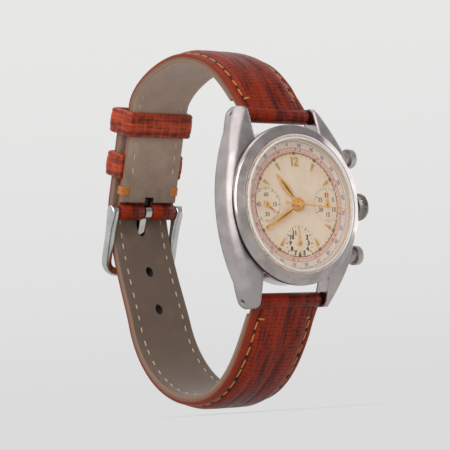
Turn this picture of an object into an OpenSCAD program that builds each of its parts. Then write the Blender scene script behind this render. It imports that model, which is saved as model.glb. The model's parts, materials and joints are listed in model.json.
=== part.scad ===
// Hand-wound three-register chronograph wristwatch on a padded leather strap.
// X points to 3 o'clock, Y from the dial to the wrist, Z to 12 o'clock.
// The origin is the centre of the flat case back. All sizes are in millimetres.

/* [Case] */
// Half width of the case across the flanks, without the crown
case_half_w = 18.2; // [17.8:0.1:19]
// Radius of the curved flank seen from the front
flank_r = 39.5; // [36:0.5:44]
// Height of the case underside above the back
case_low = 2; // [1.8:0.1:2.2]
// Width of the polished chamfer along the upper flank edge
flank_chamfer = 1.1; // [0.6:0.1:1.4]
// Radius of the round body between the lugs
body_r = 17.3; // [17:0.1:17.6]
// Space between two lugs
lug_gap = 19; // [18.6:0.1:20]
// Distance of a spring bar from the case centre
bar_reach = 20.6; // [20.2:0.1:21.2]
// Height of a spring bar above the back
bar_h = 2; // [1.9:0.1:2.4]
// Length of a lug beyond its spring bar
lug_tip = 1.7; // [1.4:0.1:2.2]
// Height of the lug top at its tip
lug_top = 5; // [4.4:0.1:5.6]
// Height of the lug underside at its tip
lug_low = 0.3; // [0.1:0.1:0.6]
// Radius of the case bore that holds the movement
case_bore = 15.3; // [15.2:0.05:15.5]

/* [Bezel and crystal] */
// Outer radius of the bezel
bezel_r = 17.8; // [17.4:0.1:18.2]
// Height of the bezel above its seat
bezel_rise = 1.75; // [1.5:0.05:2]
// Radius of the crystal
crystal_r = 15; // [14.8:0.05:15.1]
// Height of the crystal dome above its rim
crystal_dome = 2.3; // [1.9:0.1:3]
// Thickness of the crystal
crystal_t = 0.9; // [0.7:0.05:1]

/* [Dial and hands] */
// Height of the dial face above the back
dial_h = 7.25; // [7.2:0.01:7.3]
// Thickness of the dial plate
dial_t = 0.4; // [0.35:0.05:0.5]
// Distance of each sub-dial from the dial centre
sub_offset = 8.35; // [8.3:0.01:8.4]
// Radius of a sub-dial
sub_r = 3.9; // [3.6:0.1:4.1]
// Depth of a sub-dial below the dial face
sub_depth = 0.12; // [0.08:0.01:0.15]
// Length of the hour hand
hour_len = 8.6; // [7.5:0.1:9.5]
// Length of the minute hand
minute_len = 11; // [9.5:0.1:11.8]
// Length of the chronograph hand
sweep_len = 13.6; // [12:0.1:14]
// Length of a sub-dial hand
sub_hand_len = 3.1; // [2.4:0.1:3.4]
// Angle of the hour hand clockwise from 12
hour_angle = 320; // [0:1:359]
// Angle of the minute hand clockwise from 12
minute_angle = 240; // [0:1:359]
// Angle of the chronograph hand clockwise from 12
sweep_angle = 94; // [0:1:359]
// Angle of the small seconds hand clockwise from 12
seconds_angle = 127; // [0:1:359]

/* [Movement] */
// Radius of the main plate
plate_r = 13.7; // [13.5:0.1:13.8]
// Thickness of a train wheel
wheel_t = 0.2; // [0.15:0.01:0.25]
// Radius of a pivot
pivot_r = 0.16; // [0.12:0.01:0.2]
// Clearance around a turning pivot or tube
run_gap = 0.03; // [0.02:0.01:0.05]
// Radius of the balance wheel
balance_r = 3.7; // [3.3:0.1:3.8]
// Radius of the barrel drum
drum_r = 4.8; // [4.4:0.1:5]

/* [Crown and pushers] */
// Height of the crown axis above the back
crown_h = 4.6; // [4.5:0.05:4.7]
// Radius of the crown
crown_r = 3.1; // [2.8:0.1:3.4]
// Length of the crown
crown_len = 2.8; // [2.4:0.1:4]
// Gap between the crown and the case
crown_gap = 0.9; // [0.9:0.1:1.6]
// Number of flutes on the crown
crown_flutes = 24; // [18:1:30]
// Radius of the winding stem
stem_r = 0.6; // [0.5:0.05:0.7]
// Distance of a pusher from the crown axis
pusher_y = 11; // [10.8:0.1:11.4]
// Radius of a pusher head
pusher_r = 2.2; // [1.9:0.1:2.4]
// Length of a pusher head
pusher_len = 1.9; // [1.8:0.1:2.6]
// Stroke of a pusher
pusher_stroke = 0.8; // [0.6:0.1:1]
// Radius of a pusher stem
pusher_stem_r = 0.8; // [0.6:0.05:0.9]

/* [Strap] */
// Width of the strap at the lugs
strap_w = 18.4; // [17:0.1:18.5]
// Width of the strap at the buckle
strap_end_w = 16; // [15:0.1:16.4]
// Thickness of the padded leather at its crown
strap_pad = 3; // [2.4:0.1:3.4]
// Thickness of the leather at the buckle
strap_thin = 1.5; // [1.2:0.05:1.6]
// Thickness of the lining
lining_t = 0.9; // [0.7:0.05:1]
// Radius of a spring bar
spring_bar_r = 0.75; // [0.6:0.05:0.85]
// Radius of the leather eye around a spring bar
eye_r = 1.7; // [1.5:0.05:1.8]
// Height of a keeper along the strap
keeper_h = 6; // [5:0.1:6.4]
// Wall of a keeper
keeper_wall = 1.1; // [0.8:0.1:1.4]
// Clearance between a keeper and the strap
keeper_gap = 0.35; // [0.25:0.05:0.6]

/* [Buckle] */
// Distance of the buckle bar behind the case back
buckle_y = 48.9; // [48.4:0.1:49.4]
// Height of the buckle bar above the case axis
buckle_z = 4.9; // [4.6:0.1:5.2]
// Radius of the buckle bar
buckle_bar_r = 0.9; // [0.8:0.05:1]
// Radius of the buckle frame wire
frame_r = 1.1; // [0.9:0.05:1.2]
// Length of the buckle frame from its bar
frame_len = 14.7; // [14:0.1:15.4]
// Thickness of the buckle tongue
tongue_t = 1; // [0.8:0.05:1.1]
// Width of the buckle tongue
tongue_w = 1.7; // [1.4:0.1:1.9]

/* [Hidden] */
$fn = 64;

steel = "silver";
gilt = "goldenrod";
brass = "darkkhaki";
leather = "sienna";
lining_tint = "tan";
eps = 0.01;
big = 60;

// Heights of the stack, from the back to the dial
back_wall = 1;
spigot_h = 1.1;
bridge_t = 0.55;
chrono_bridge_h = 1.2;
chrono_bridge_t = 0.35;
chrono_wheel_h = 1.7;
bridge_h = 2.05;
low_wheel_h = 2.8;
high_wheel_h = 3.4;
plate_h = 3.7;
plate_t = 2.3;
plate_top = plate_h + plate_t;
dial_under = dial_h - dial_t;
case_top = dial_h;
bridge_top = bridge_h + bridge_t;
lug_reach = bar_reach + lug_tip;
flank_c = flank_r - case_half_w;
lug_slope_y = 12;
lug_round = 2;
lug_toe = 1.5;
lug_slope = atan((case_top - lug_top) / (lug_reach - lug_round - lug_slope_y));
lug_hole_r = 0.5;
back_rim_r = case_bore + 1;
lug_chamfer = flank_chamfer + 0.1;
bar_pin_r = lug_hole_r - run_gap;

// Plan of the movement, seen from the dial
barrel_n = 48;
barrel_m = 0.225;
centre_n = 48;
centre_m = 0.18667;
third_n = 45;
third_m = 0.16;
fourth_n = 60;
fourth_m = 0.103;
centre_leaves = 8;
third_leaves = 6;
fourth_leaves = 6;
escape_leaves = 6;
escape_n = 15;
escape_r = 1.9;
cannon_n = 12;
minute_n = 36;
motion_m = 0.15;
minute_leaves = 8;
hour_n = 32;
hour_m = 0.18;
barrel_dist = barrel_m * (barrel_n + centre_leaves) / 2;
third_dist = centre_m * (centre_n + third_leaves) / 2;
fourth_dist = third_m * (third_n + fourth_leaves) / 2;
escape_dist = fourth_m * (fourth_n + escape_leaves) / 2;
minute_dist = motion_m * (cannon_n + minute_n) / 2;
barrel_dir = 50;
escape_dir = 115;
minute_dir = 60;
third_dir = 180 + acos((third_dist^2 - fourth_dist^2 + sub_offset^2) / (2 * third_dist * sub_offset));
function polar(r, a) = [r * cos(a), r * sin(a)];
barrel_at = polar(barrel_dist, barrel_dir);
third_at = polar(third_dist, third_dir);
fourth_at = [-sub_offset, 0];
minute_counter_at = [sub_offset, 0];
hour_counter_at = [0, -sub_offset];
escape_at = fourth_at + polar(escape_dist, escape_dir);
minute_at = polar(minute_dist, minute_dir);
balance_at = [-6, 7.4];
pallet_share = 0.45;
pallet_post = [-2, 2.2];
pallet_at = escape_at + (balance_at - escape_at) * pallet_share;
escape_line = balance_at - escape_at;
escape_angle = atan2(escape_line[1], escape_line[0]);
// Direction from one point to another
function heading(a, b) = atan2(b[1] - a[1], b[0] - a[0]);
// Angle of the first tooth of wheel b so that it meets a gap of wheel a
function mesh_phase(dir, na, pa, nb) = dir + 180 - 360 / nb * (0.5 - (dir - pa) * na / 360);
centre_phase = mesh_phase(barrel_dir + 180, barrel_n, 0, centre_leaves);
third_phase = mesh_phase(third_dir, centre_n, 0, third_leaves);
fourth_phase = mesh_phase(heading(third_at, fourth_at), third_n, 0, fourth_leaves);
escape_phase = mesh_phase(escape_dir, fourth_n, 0, escape_leaves);
minute_phase = mesh_phase(minute_dir, cannon_n, 0, minute_n);
hour_phase = mesh_phase(minute_dir + 180, minute_leaves, 0, hour_n);

// Nested tubes at the dial centre, from the inside out
runner_r = 0.3;
centre_bore = runner_r + run_gap;
centre_r = 0.62;
cannon_bore = centre_r + eps;
cannon_r = 0.95;
hour_bore = cannon_r + run_gap;
hour_r = 1.35;
dial_bore = hour_r + 0.15;
sub_arbor_r = 0.25;
sub_bore = sub_arbor_r + run_gap;
hand_t = 0.14;
sub_hand_h = dial_h + 0.05;
hour_hand_h = dial_h + 0.4;
minute_hand_h = hour_hand_h + 0.45;
sweep_hand_h = minute_hand_h + 0.5;
marker_t = 0.2;
marker_r = 9.3;
marker_len = 1.9;
marker_w = 0.8;
numeral_r = 9.4;
numeral_h = 2;

// Crown, stem and pusher stations along X
crown_x = case_half_w + crown_gap;
crown_clear = 0.2;
stem_seat = 1.8;
tube_r = 1.45;
tube_x = 14;
stem_end = sub_offset + 1.2;
pinion_x = stem_end + 0.4;
pinion_len = 1.4;
pinion_r = 1.05;
pusher_seat = sqrt(flank_r^2 - (pusher_y - pusher_r)^2) - flank_c;
pusher_x = pusher_seat + pusher_stroke + 0.2;
pusher_tube_r = 1.3;
pusher_in = sqrt(plate_r^2 - (pusher_y - pusher_tube_r)^2) + 0.15;

module dial_up() {
    rotate([90, 0, 0]) children();
}

module at(p, h = 0) {
    translate([p[0], p[1], h]) children();
}

module ring(r_out, r_in, t) {
    linear_extrude(t) difference() {
        circle(r_out);
        circle(r_in);
    }
}

// Points of an arc around c
function arc(c, r, a0, a1, n) = [for (i = [0:n]) c + polar(r, a0 + (a1 - a0) * i / n)];

// A wheel with n trapezoid teeth of module m
module toothed(n, m, t, phase = 0) {
    rp = n * m / 2;
    root = rp - 1.1 * m;
    tip = rp + 0.75 * m;
    pitch = 360 / n;
    linear_extrude(t) polygon([for (i = [0:n - 1], k = [[root, -0.27], [tip, -0.1], [tip, 0.1], [root, 0.27]])
        polar(k[0], phase + pitch * (i + k[1]))]);
}

// A pivoted arbor from h0 to h1 with thin ends
module arbor(r, h0, h1, end0, end1) {
    translate([0, 0, h0]) cylinder(r = r, h = h1 - h0);
    translate([0, 0, h0 - end0]) cylinder(r = pivot_r, h = end0 + eps);
    translate([0, 0, h1 - eps]) cylinder(r = pivot_r, h = end1 + eps);
}

// Case

// Side outline of the case with its lugs, along (12 o'clock, height)
function lug_side(s) = [
    for (p = concat(
        [[back_rim_r + 0.2, case_low]],
        arc([lug_reach - lug_toe, lug_low + lug_toe], lug_toe, 270, 360, 5),
        arc([lug_reach - lug_round, lug_top - lug_round], lug_round, 0, 80, 5),
        [[lug_slope_y, case_top]])) [s * p[0], p[1]]];

function reversed(v) = [for (i = [len(v) - 1:-1:0]) v[i]];

module case_side() {
    rotate([90, 0, 90]) translate([0, 0, -big / 2]) linear_extrude(big)
        polygon(concat(lug_side(1), reversed(lug_side(-1))));
}

module case_plan() {
    difference() {
        intersection() {
            translate([-flank_c, 0]) circle(flank_r, $fn = 180);
            translate([flank_c, 0]) circle(flank_r, $fn = 180);
        }
        difference() {
            square([lug_gap, big], center = true);
            circle(body_r);
        }
    }
}

// Cone-shaped cut along an upper flank edge
module chamfer_cut(s, c) {
    translate([-s * flank_c, 0, 0]) rotate_extrude($fn = 180)
        polygon([[flank_r - c, 0], [flank_r + 2, -c - 2], [flank_r + 2, 1], [flank_r - c, 1]]);
}

module mid_case() {
    color(steel) dial_up() difference() {
        intersection() {
            linear_extrude(2 * case_top, center = true) case_plan();
            case_side();
        }
        for (s = [-1, 1]) {
            translate([0, 0, case_top]) chamfer_cut(s, flank_chamfer);
            for (t = [-1, 1])
                translate([0, t * lug_slope_y, case_top]) rotate([-t * lug_slope, 0, 0])
                    translate([0, -t * lug_slope_y, 0]) chamfer_cut(s, lug_chamfer);
            translate([0, s * bar_reach, bar_h]) rotate([0, 90, 0])
                cylinder(r = lug_hole_r, h = big, center = true);
            translate([0, s * pusher_y, crown_h]) rotate([0, 90, 0]) {
                cylinder(r = pusher_tube_r, h = big);
                translate([0, 0, collar_x]) cylinder(r = collar_r, h = big);
            }
        }
        translate([0, 0, -1]) cylinder(r = case_bore, h = big);
        translate([0, 0, crown_h]) rotate([0, 90, 0]) cylinder(r = tube_r, h = big);
    }
}

module bezel() {
    lip_r = crystal_r - 0.5;
    top = case_top + bezel_rise;
    color(steel) dial_up() rotate_extrude($fn = 128) polygon(concat(
        [[lip_r, case_top + 0.08], [lip_r, case_top + 0.6], [crystal_r, case_top + 0.6], [crystal_r, top]],
        arc([crystal_r + 0.55, top - 0.15], 0.5, 100, 50, 4),
        arc([bezel_r - 0.9, top - 1.25], 0.9, 75, 0, 5),
        [[bezel_r, case_top + 0.25], [bezel_r - 0.25, case_top], [case_bore, case_top],
            [case_bore - 0.05, case_top + 0.08]]));
}

module crystal() {
    seat = case_top + 0.6;
    rim = case_top + bezel_rise + 0.35;
    dome_r = (crystal_r^2 + crystal_dome^2) / (2 * crystal_dome);
    in_r = crystal_r - crystal_t;
    edge = asin(crystal_r / dome_r);
    inner_edge = asin(in_r / (dome_r - crystal_t));
    mid = [0, rim + crystal_dome - dome_r];
    color("lightcyan", 0.4) dial_up() rotate_extrude($fn = 128) polygon(concat(
        [[in_r, seat], [crystal_r, seat]],
        arc(mid, dome_r, 90 - edge, 90, 14),
        arc(mid, dome_r - crystal_t, 90, 90 - inner_edge, 14)));
}

module case_back() {
    rim_r = back_rim_r;
    color(steel) dial_up() rotate_extrude($fn = 128) polygon([[0, 0], [rim_r - 2.6, 0], [rim_r - 0.6, 0.8],
        [rim_r, 1.2], [rim_r, case_low], [case_bore + 0.7, case_low], [case_bore + 0.7, case_low - 0.3],
        [case_bore + 0.2, case_low - 0.3], [case_bore + 0.2, case_low], [case_bore - run_gap, case_low],
        [case_bore - run_gap, case_low + spigot_h], [case_bore - 1.2, case_low + spigot_h],
        [case_bore - 1.2, back_wall], [0, back_wall]]);
}

module case_back_gasket() {
    color("dimgray") dial_up() translate([0, 0, case_low - 0.3])
        ring(case_bore + 0.7, case_bore + 0.2, 0.3);
}

module crown_tube() {
    color(steel) dial_up() translate([tube_x, 0, crown_h]) rotate([0, 90, 0])
        ring(tube_r, stem_r + run_gap, crown_x - crown_clear - tube_x);
}

module pusher_tubes() {
    color(steel) dial_up() for (s = [-1, 1]) translate([0, s * pusher_y, crown_h]) rotate([0, 90, 0]) {
        translate([0, 0, pusher_in])
            ring(pusher_tube_r, pusher_stem_r + run_gap, collar_x + eps - pusher_in);
        translate([0, 0, collar_x])
            ring(collar_r, pusher_stem_r + run_gap, collar_floor);
        translate([0, 0, collar_x + collar_floor - eps])
            ring(collar_r, spring_r + 0.06, pusher_x + collar_lap - collar_x - collar_floor + eps);
    }
}

module lug_spring_bars() {
    half = lug_gap / 2 - 0.15;
    color(steel) dial_up() for (s = [-1, 1]) translate([0, s * bar_reach, bar_h]) rotate([0, 90, 0]) {
        cylinder(r = spring_bar_r, h = 2 * half, center = true);
        cylinder(r = bar_pin_r, h = 2 * half + 2.6, center = true);
    }
}

// Dial side

sub_dials = [fourth_at, minute_counter_at, hour_counter_at];

module dial() {
    color("antiquewhite") dial_up() difference() {
        translate([0, 0, dial_under]) cylinder(r = case_bore - 0.4, h = dial_t, $fn = 128);
        translate([0, 0, -1]) cylinder(r = dial_bore, h = big);
        for (p = sub_dials) {
            at(p, dial_h - sub_depth) cylinder(r = sub_r, h = 1);
            at(p, -1) cylinder(r = sub_bore, h = big);
        }
    }
}

module wedge_marker(r, l, w) {
    translate([0, r]) polygon([[-w / 2, l / 2], [w / 2, l / 2], [0, -l / 2]]);
}

// The numeral 12 drawn from bars and an arc, height about 2.4
module numeral_12() {
    translate([-0.95, 0]) square([0.4, 2.4], center = true);
    translate([0.45, 0.55]) {
        intersection() {
            difference() {
                circle(0.68);
                circle(0.3);
            }
            translate([-0.7, -0.05]) square([1.4, 0.8]);
        }
        polygon([[0.3, 0], [0.68, 0], [-0.2, -1.4], [0.7, -1.4], [0.7, -1.75], [-0.7, -1.75], [-0.7, -1.4]]);
    }
}

module hour_markers() {
    color(gilt) dial_up() translate([0, 0, dial_h]) linear_extrude(marker_t) {
        for (i = [1, 2, 4, 5, 7, 8, 10, 11]) rotate(-30 * i) wedge_marker(marker_r, marker_len, marker_w);
        translate([0, numeral_r]) scale(numeral_h / 2.4) numeral_12();
    }
}

// A leaf-shaped hand with its hub, pointing to 12
module leaf_hand(l, w, hub, bore) {
    root = bore + (hub - bore) / 2;
    ring(hub, bore, hand_t);
    linear_extrude(hand_t) polygon([[-hub * 0.3, root], [-w / 2, l * 0.45], [0, l], [w / 2, l * 0.45],
        [hub * 0.3, root]]);
}

module hand_at(h, angle) {
    color(gilt) dial_up() translate([0, 0, h]) rotate(-angle) children();
}

module hour_hand() {
    hand_at(hour_hand_h, hour_angle) leaf_hand(hour_len, 1.25, hour_r + 0.35, hour_r + eps);
}

module minute_hand() {
    hand_at(minute_hand_h, minute_angle) leaf_hand(minute_len, 1.05, cannon_r + 0.35, cannon_r + eps);
}

module sweep_hand() {
    tail = 4.2;
    hand_at(sweep_hand_h, sweep_angle) {
        ring(0.85, runner_r + eps, hand_t);
        linear_extrude(hand_t) {
            polygon([[-0.22, 0.55], [-0.08, sweep_len], [0.08, sweep_len], [0.22, 0.55]]);
            polygon([[-0.18, -0.55], [-0.45, -tail], [0.45, -tail], [0.18, -0.55]]);
        }
    }
}

module sub_hand() {
    leaf_hand(sub_hand_len, 0.5, 0.5, sub_arbor_r + eps);
}

module seconds_hand() {
    dial_up() at(fourth_at) rotate([-90, 0, 0]) hand_at(sub_hand_h, seconds_angle) sub_hand();
}

module minute_counter_hand() {
    dial_up() at(minute_counter_at) rotate([-90, 0, 0]) hand_at(sub_hand_h, 0) sub_hand();
}

module hour_counter_hand() {
    dial_up() at(hour_counter_at) rotate([-90, 0, 0]) hand_at(sub_hand_h, 0) sub_hand();
}

// Movement

module movement_ring() {
    ring_low = case_low + spigot_h;
    color(brass) dial_up() difference() {
        translate([0, 0, ring_low]) ring(case_bore - 0.1, plate_r + 0.05, dial_under - ring_low);
        translate([0, 0, crown_h]) rotate([0, 90, 0]) cylinder(r = tube_r + 0.1, h = big);
        for (s = [-1, 1])
            translate([0, s * pusher_y, crown_h]) rotate([0, 90, 0])
                cylinder(r = pusher_tube_r + 0.05, h = big);
    }
}

pocket_top = plate_h + 0.95;
pocket_r = barrel_n * barrel_m / 2 + 0.4;

module main_plate() {
    color(brass) dial_up() difference() {
        union() {
            translate([0, 0, plate_h]) cylinder(r = plate_r, h = plate_t, $fn = 128);
            translate([0, 0, plate_top - eps]) ring(plate_r, plate_r - 1.1, dial_under - plate_top + eps);
            at(minute_at, plate_top - eps) cylinder(r = 0.3, h = 0.62);
        }
        translate([0, 0, plate_h - eps]) cylinder(r = centre_r + run_gap, h = big);
        at(barrel_at, plate_h - eps) cylinder(r = pocket_r, h = pocket_top - plate_h);
        at(barrel_at, plate_h) cylinder(r = 0.5 + run_gap, h = pocket_top - plate_h + 0.5);
        for (p = sub_dials) at(p, plate_h - eps) cylinder(r = sub_bore, h = big);
        for (p = [third_at, escape_at, pallet_at, balance_at])
            at(p, plate_h - eps) cylinder(r = pivot_r + run_gap, h = 0.7);
        translate([stem_end - 0.3, 0, crown_h]) rotate([0, 90, 0]) cylinder(r = stem_r + 0.1, h = big);
        translate([pinion_x - 0.1, 0, crown_h]) rotate([0, 90, 0])
            cylinder(r = pinion_r + 0.1, h = pinion_len + 0.2);
        for (s = [-1, 1])
            translate([0, s * pusher_y, crown_h]) rotate([0, 90, 0])
                cylinder(r = pusher_stem_r + 0.3, h = big);
    }
}

// A pillar post between a bridge and the main plate
post_r = 0.9;
screw_r = 0.7;
post_at_r = plate_r - 1.3;
escape_post_r = plate_r - 1.1;
barrel_posts = [polar(post_at_r, 28), polar(post_at_r, 72)];
train_posts = [polar(post_at_r, 200), polar(post_at_r, 232), polar(escape_post_r, 172)];
cock_posts = [polar(post_at_r, 106), polar(post_at_r, 98)];
chrono_posts = [polar(post_at_r, 300), polar(post_at_r, 335)];

// Widths of the bridge arms
wide_arm = 2.6;
cock_arm = 2.4;
main_arm = 2.2;
chrono_arm = 1.9;
slim_arm = 1.8;
chrono_foot = 1.7;
pallet_arm = 0.95;

module posts(places, low, top) {
    for (p = places) at(p, low) cylinder(r = post_r, h = top - low);
}

// Flat bar of width w from a to b with a round end at b
module link(a, b, w) {
    d = b - a;
    translate(a) rotate(atan2(d[1], d[0])) translate([0, -w / 2]) square([norm(d), w]);
    translate(b) circle(w / 2);
}

module barrel_bridge() {
    color(steel) dial_up() difference() {
        union() {
            translate([0, 0, bridge_h]) linear_extrude(bridge_t) {
                at(barrel_at) circle(2.4);
                for (p = barrel_posts) link(barrel_at, p, main_arm);
            }
            posts(barrel_posts, bridge_h, plate_h);
        }
        at(barrel_at, 0) cylinder(r = 0.5 + run_gap, h = bridge_top + 0.2);
    }
}

module train_bridge() {
    holes = [third_at, escape_at];
    color(steel) dial_up() difference() {
        union() {
            translate([0, 0, bridge_h]) linear_extrude(bridge_t) {
                circle(1.5);
                link([0, 0], third_at, wide_arm);
                link(third_at, fourth_at, main_arm);
                link(fourth_at, escape_at, slim_arm);
                link(fourth_at, train_posts[0], slim_arm);
                link(third_at, train_posts[1], slim_arm);
                link(escape_at, train_posts[2], slim_arm);
            }
            posts(train_posts, bridge_h, plate_h);
        }
        translate([0, 0, bridge_h - 1]) cylinder(r = centre_r + run_gap, h = 2);
        at(fourth_at, bridge_h - 1) cylinder(r = sub_bore, h = 2);
        for (p = holes) at(p, bridge_h - 1) cylinder(r = pivot_r + run_gap, h = 2);
    }
}

cock_h = 1.2;
cock_t = 0.5;

module balance_cock() {
    color(steel) dial_up() difference() {
        union() {
            translate([0, 0, cock_h]) linear_extrude(cock_t) {
                link(balance_at, cock_posts[0], cock_arm);
                link(cock_posts[0], cock_posts[1], slim_arm);
            }
            posts(cock_posts, cock_h, plate_h);
            at(pallet_at, bridge_top) linear_extrude(0.3) {
                circle(0.55);
                link([0, 0], pallet_post, pallet_arm);
            }
            at(pallet_at + pallet_post, bridge_top) cylinder(r = 0.5, h = plate_h - bridge_top);
        }
        at(balance_at, 0) cylinder(r = pivot_r + run_gap, h = cock_h + cock_t + 0.1);
        at(pallet_at, 0) cylinder(r = pivot_r + run_gap, h = plate_h);
    }
}

module chronograph_bridge() {
    color(steel) dial_up() difference() {
        union() {
            translate([0, 0, chrono_bridge_h]) linear_extrude(chrono_bridge_t) {
                circle(1.3);
                link([0, 0], hour_counter_at, chrono_arm);
                link([0, 0], minute_counter_at, chrono_arm);
                link(hour_counter_at, chrono_posts[0], chrono_foot);
                link(minute_counter_at, chrono_posts[1], chrono_foot);
            }
            posts(chrono_posts, chrono_bridge_h, plate_h);
        }
        for (p = [[0, 0], hour_counter_at, minute_counter_at])
            at(p, 0) cylinder(r = pivot_r + run_gap, h = chrono_bridge_h + chrono_bridge_t + 0.1);
    }
}

module bridge_screws() {
    color("steelblue") dial_up() {
        for (p = concat(barrel_posts, train_posts)) at(p, bridge_h - 0.3) screw_head();
        for (p = concat(cock_posts, chrono_posts)) at(p, chrono_bridge_h - 0.15) screw_head(0.15);
    }
}

module screw_head(t = 0.3) {
    difference() {
        cylinder(r = screw_r, h = t);
        translate([-1, -0.1, -1]) cube([2, 0.2, 1 + t / 2]);
    }
}

module barrel() {
    drum_h = high_wheel_h - 0.3;
    drum_t = pocket_top - 0.1 - drum_h;
    color(brass) dial_up() at(barrel_at) difference() {
        union() {
            translate([0, 0, drum_h]) cylinder(r = drum_r, h = drum_t);
            translate([0, 0, high_wheel_h - 0.1]) toothed(barrel_n, barrel_m, 0.3);
        }
        translate([0, 0, drum_h + 0.2]) cylinder(r = drum_r - 0.3, h = drum_t - 0.4);
        translate([0, 0, drum_h - 1]) cylinder(r = 0.5 + run_gap, h = big);
    }
}

module mainspring() {
    drum_h = high_wheel_h - 0.3;
    drum_t = pocket_top - 0.1 - drum_h;
    color("slategray") dial_up() at(barrel_at, drum_h + 0.25) ring(drum_r - 0.9, 1.4, drum_t - 0.5);
}

module ratchet_wheel() {
    color(steel) dial_up() at(barrel_at) {
        translate([0, 0, bridge_h - 0.35]) toothed(36, 0.2, 0.3);
        translate([0, 0, bridge_h - 0.35]) cylinder(r = 0.5, h = pocket_top + 0.4 - bridge_h + 0.35);
    }
}

module centre_wheel() {
    color(brass) dial_up() difference() {
        union() {
            translate([0, 0, low_wheel_h]) toothed(centre_n, centre_m, wheel_t);
            translate([0, 0, low_wheel_h]) toothed(centre_leaves, barrel_m, plate_h - 0.05 - low_wheel_h,
                centre_phase);
            translate([0, 0, bridge_h]) cylinder(r = centre_r, h = minute_hand_h - 0.2 - bridge_h);
        }
        cylinder(r = centre_bore, h = big);
    }
}

module cannon_pinion() {
    pinion_top = plate_top + 0.34;
    color(steel) dial_up() difference() {
        union() {
            translate([0, 0, pinion_top]) cylinder(r = cannon_r, h = minute_hand_h + hand_t - pinion_top);
            translate([0, 0, plate_top + 0.04])
                toothed(cannon_n, motion_m, pinion_top + eps - plate_top - 0.04);
        }
        translate([0, 0, plate_top - 1]) cylinder(r = cannon_bore, h = big);
    }
}

module minute_wheel() {
    color(brass) dial_up() at(minute_at) difference() {
        union() {
            translate([0, 0, plate_top + 0.04]) toothed(minute_n, motion_m, 0.25, minute_phase);
            translate([0, 0, plate_top + 0.04]) toothed(minute_leaves, hour_m, 0.72);
        }
        translate([0, 0, plate_top - 1]) cylinder(r = 0.3 + run_gap, h = big);
    }
}

module hour_wheel() {
    wheel_h = plate_top + 0.5;
    color(brass) dial_up() difference() {
        union() {
            translate([0, 0, wheel_h]) toothed(hour_n, hour_m, 0.25, hour_phase);
            translate([0, 0, wheel_h]) cylinder(r = hour_r, h = hour_hand_h + hand_t - wheel_h);
        }
        translate([0, 0, plate_top - 1]) cylinder(r = hour_bore, h = big);
    }
}

module third_wheel() {
    color(brass) dial_up() at(third_at) {
        translate([0, 0, high_wheel_h]) toothed(third_n, third_m, wheel_t);
        translate([0, 0, bridge_top + 0.05]) toothed(third_leaves, centre_m, 0.5, third_phase);
        arbor(0.3, bridge_top + 0.05, plate_h - 0.05, 0.4, 0.4);
    }
}

module fourth_wheel() {
    color(brass) dial_up() at(fourth_at) {
        translate([0, 0, low_wheel_h]) toothed(fourth_n, fourth_m, wheel_t);
        translate([0, 0, low_wheel_h]) toothed(fourth_leaves, third_m, plate_h - 0.05 - low_wheel_h,
            fourth_phase);
        translate([0, 0, bridge_h]) cylinder(r = sub_arbor_r, h = sub_hand_h + hand_t - bridge_h);
    }
}

module escape_wheel() {
    color(brass) dial_up() at(escape_at) {
        translate([0, 0, high_wheel_h]) linear_extrude(wheel_t) polygon([for (i = [0:escape_n - 1],
            k = [[0.72, 0], [1, 0.35], [0.98, 0.45], [0.72, 0.55]])
                polar(escape_r * k[0], 360 / escape_n * (i + k[1]))]);
        translate([0, 0, bridge_top + 0.05]) toothed(escape_leaves, fourth_m, 0.5, escape_phase);
        arbor(0.2, bridge_top + 0.05, plate_h - 0.05, 0.4, 0.4);
    }
}

module pallet_fork() {
    reach = norm(pallet_at - escape_at);
    stone = reach - escape_r - 0.12;
    color(steel) dial_up() at(pallet_at) {
        translate([0, 0, high_wheel_h]) rotate(escape_angle) linear_extrude(wheel_t) {
            circle(0.35);
            link([0, -1.1], [0, 1.1], 0.3);
            for (s = [-1, 1]) translate([-stone / 2, s * 1.1]) square([stone, 0.3], center = true);
            link([0, 0], [reach * 0.75, 0], 0.3);
        }
        arbor(0.22, bridge_top + 0.35, plate_h - 0.05, 0.3, 0.4);
    }
}

balance_h = 1.95;

module balance_wheel() {
    color(gilt) dial_up() at(balance_at) {
        translate([0, 0, balance_h]) {
            ring(balance_r, balance_r - 0.5, 0.35);
            linear_extrude(0.2) square([2 * balance_r - 0.4, 0.5], center = true);
        }
        arbor(0.3, cock_h + cock_t + 0.05, plate_h - 0.05, 0.3, 0.4);
    }
}

module hairspring() {
    color("steelblue") dial_up() at(balance_at, cock_h + cock_t + 0.06) ring(1.5, 0.34, 0.12);
}

module chrono_runner() {
    color(brass) dial_up() {
        translate([0, 0, chrono_wheel_h]) toothed(60, 0.075, wheel_t);
        arbor(runner_r, chrono_bridge_h + chrono_bridge_t + 0.05, sweep_hand_h + hand_t + 0.25, 0.3, 0);
        translate([0, 0, sweep_hand_h + hand_t + eps]) cylinder(r = 0.5, h = 0.3);
    }
}

// A counter wheel whose arbor carries a sub-dial hand
module counter_wheel(p) {
    color(brass) dial_up() at(p) {
        translate([0, 0, chrono_wheel_h]) toothed(30, 0.15, wheel_t);
        arbor(sub_arbor_r, chrono_bridge_h + chrono_bridge_t + 0.05, sub_hand_h + hand_t, 0.3, 0);
    }
}

module minute_counter_wheel() {
    counter_wheel(minute_counter_at);
}

module hour_counter_wheel() {
    counter_wheel(hour_counter_at);
}

// Crown and pushers

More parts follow.
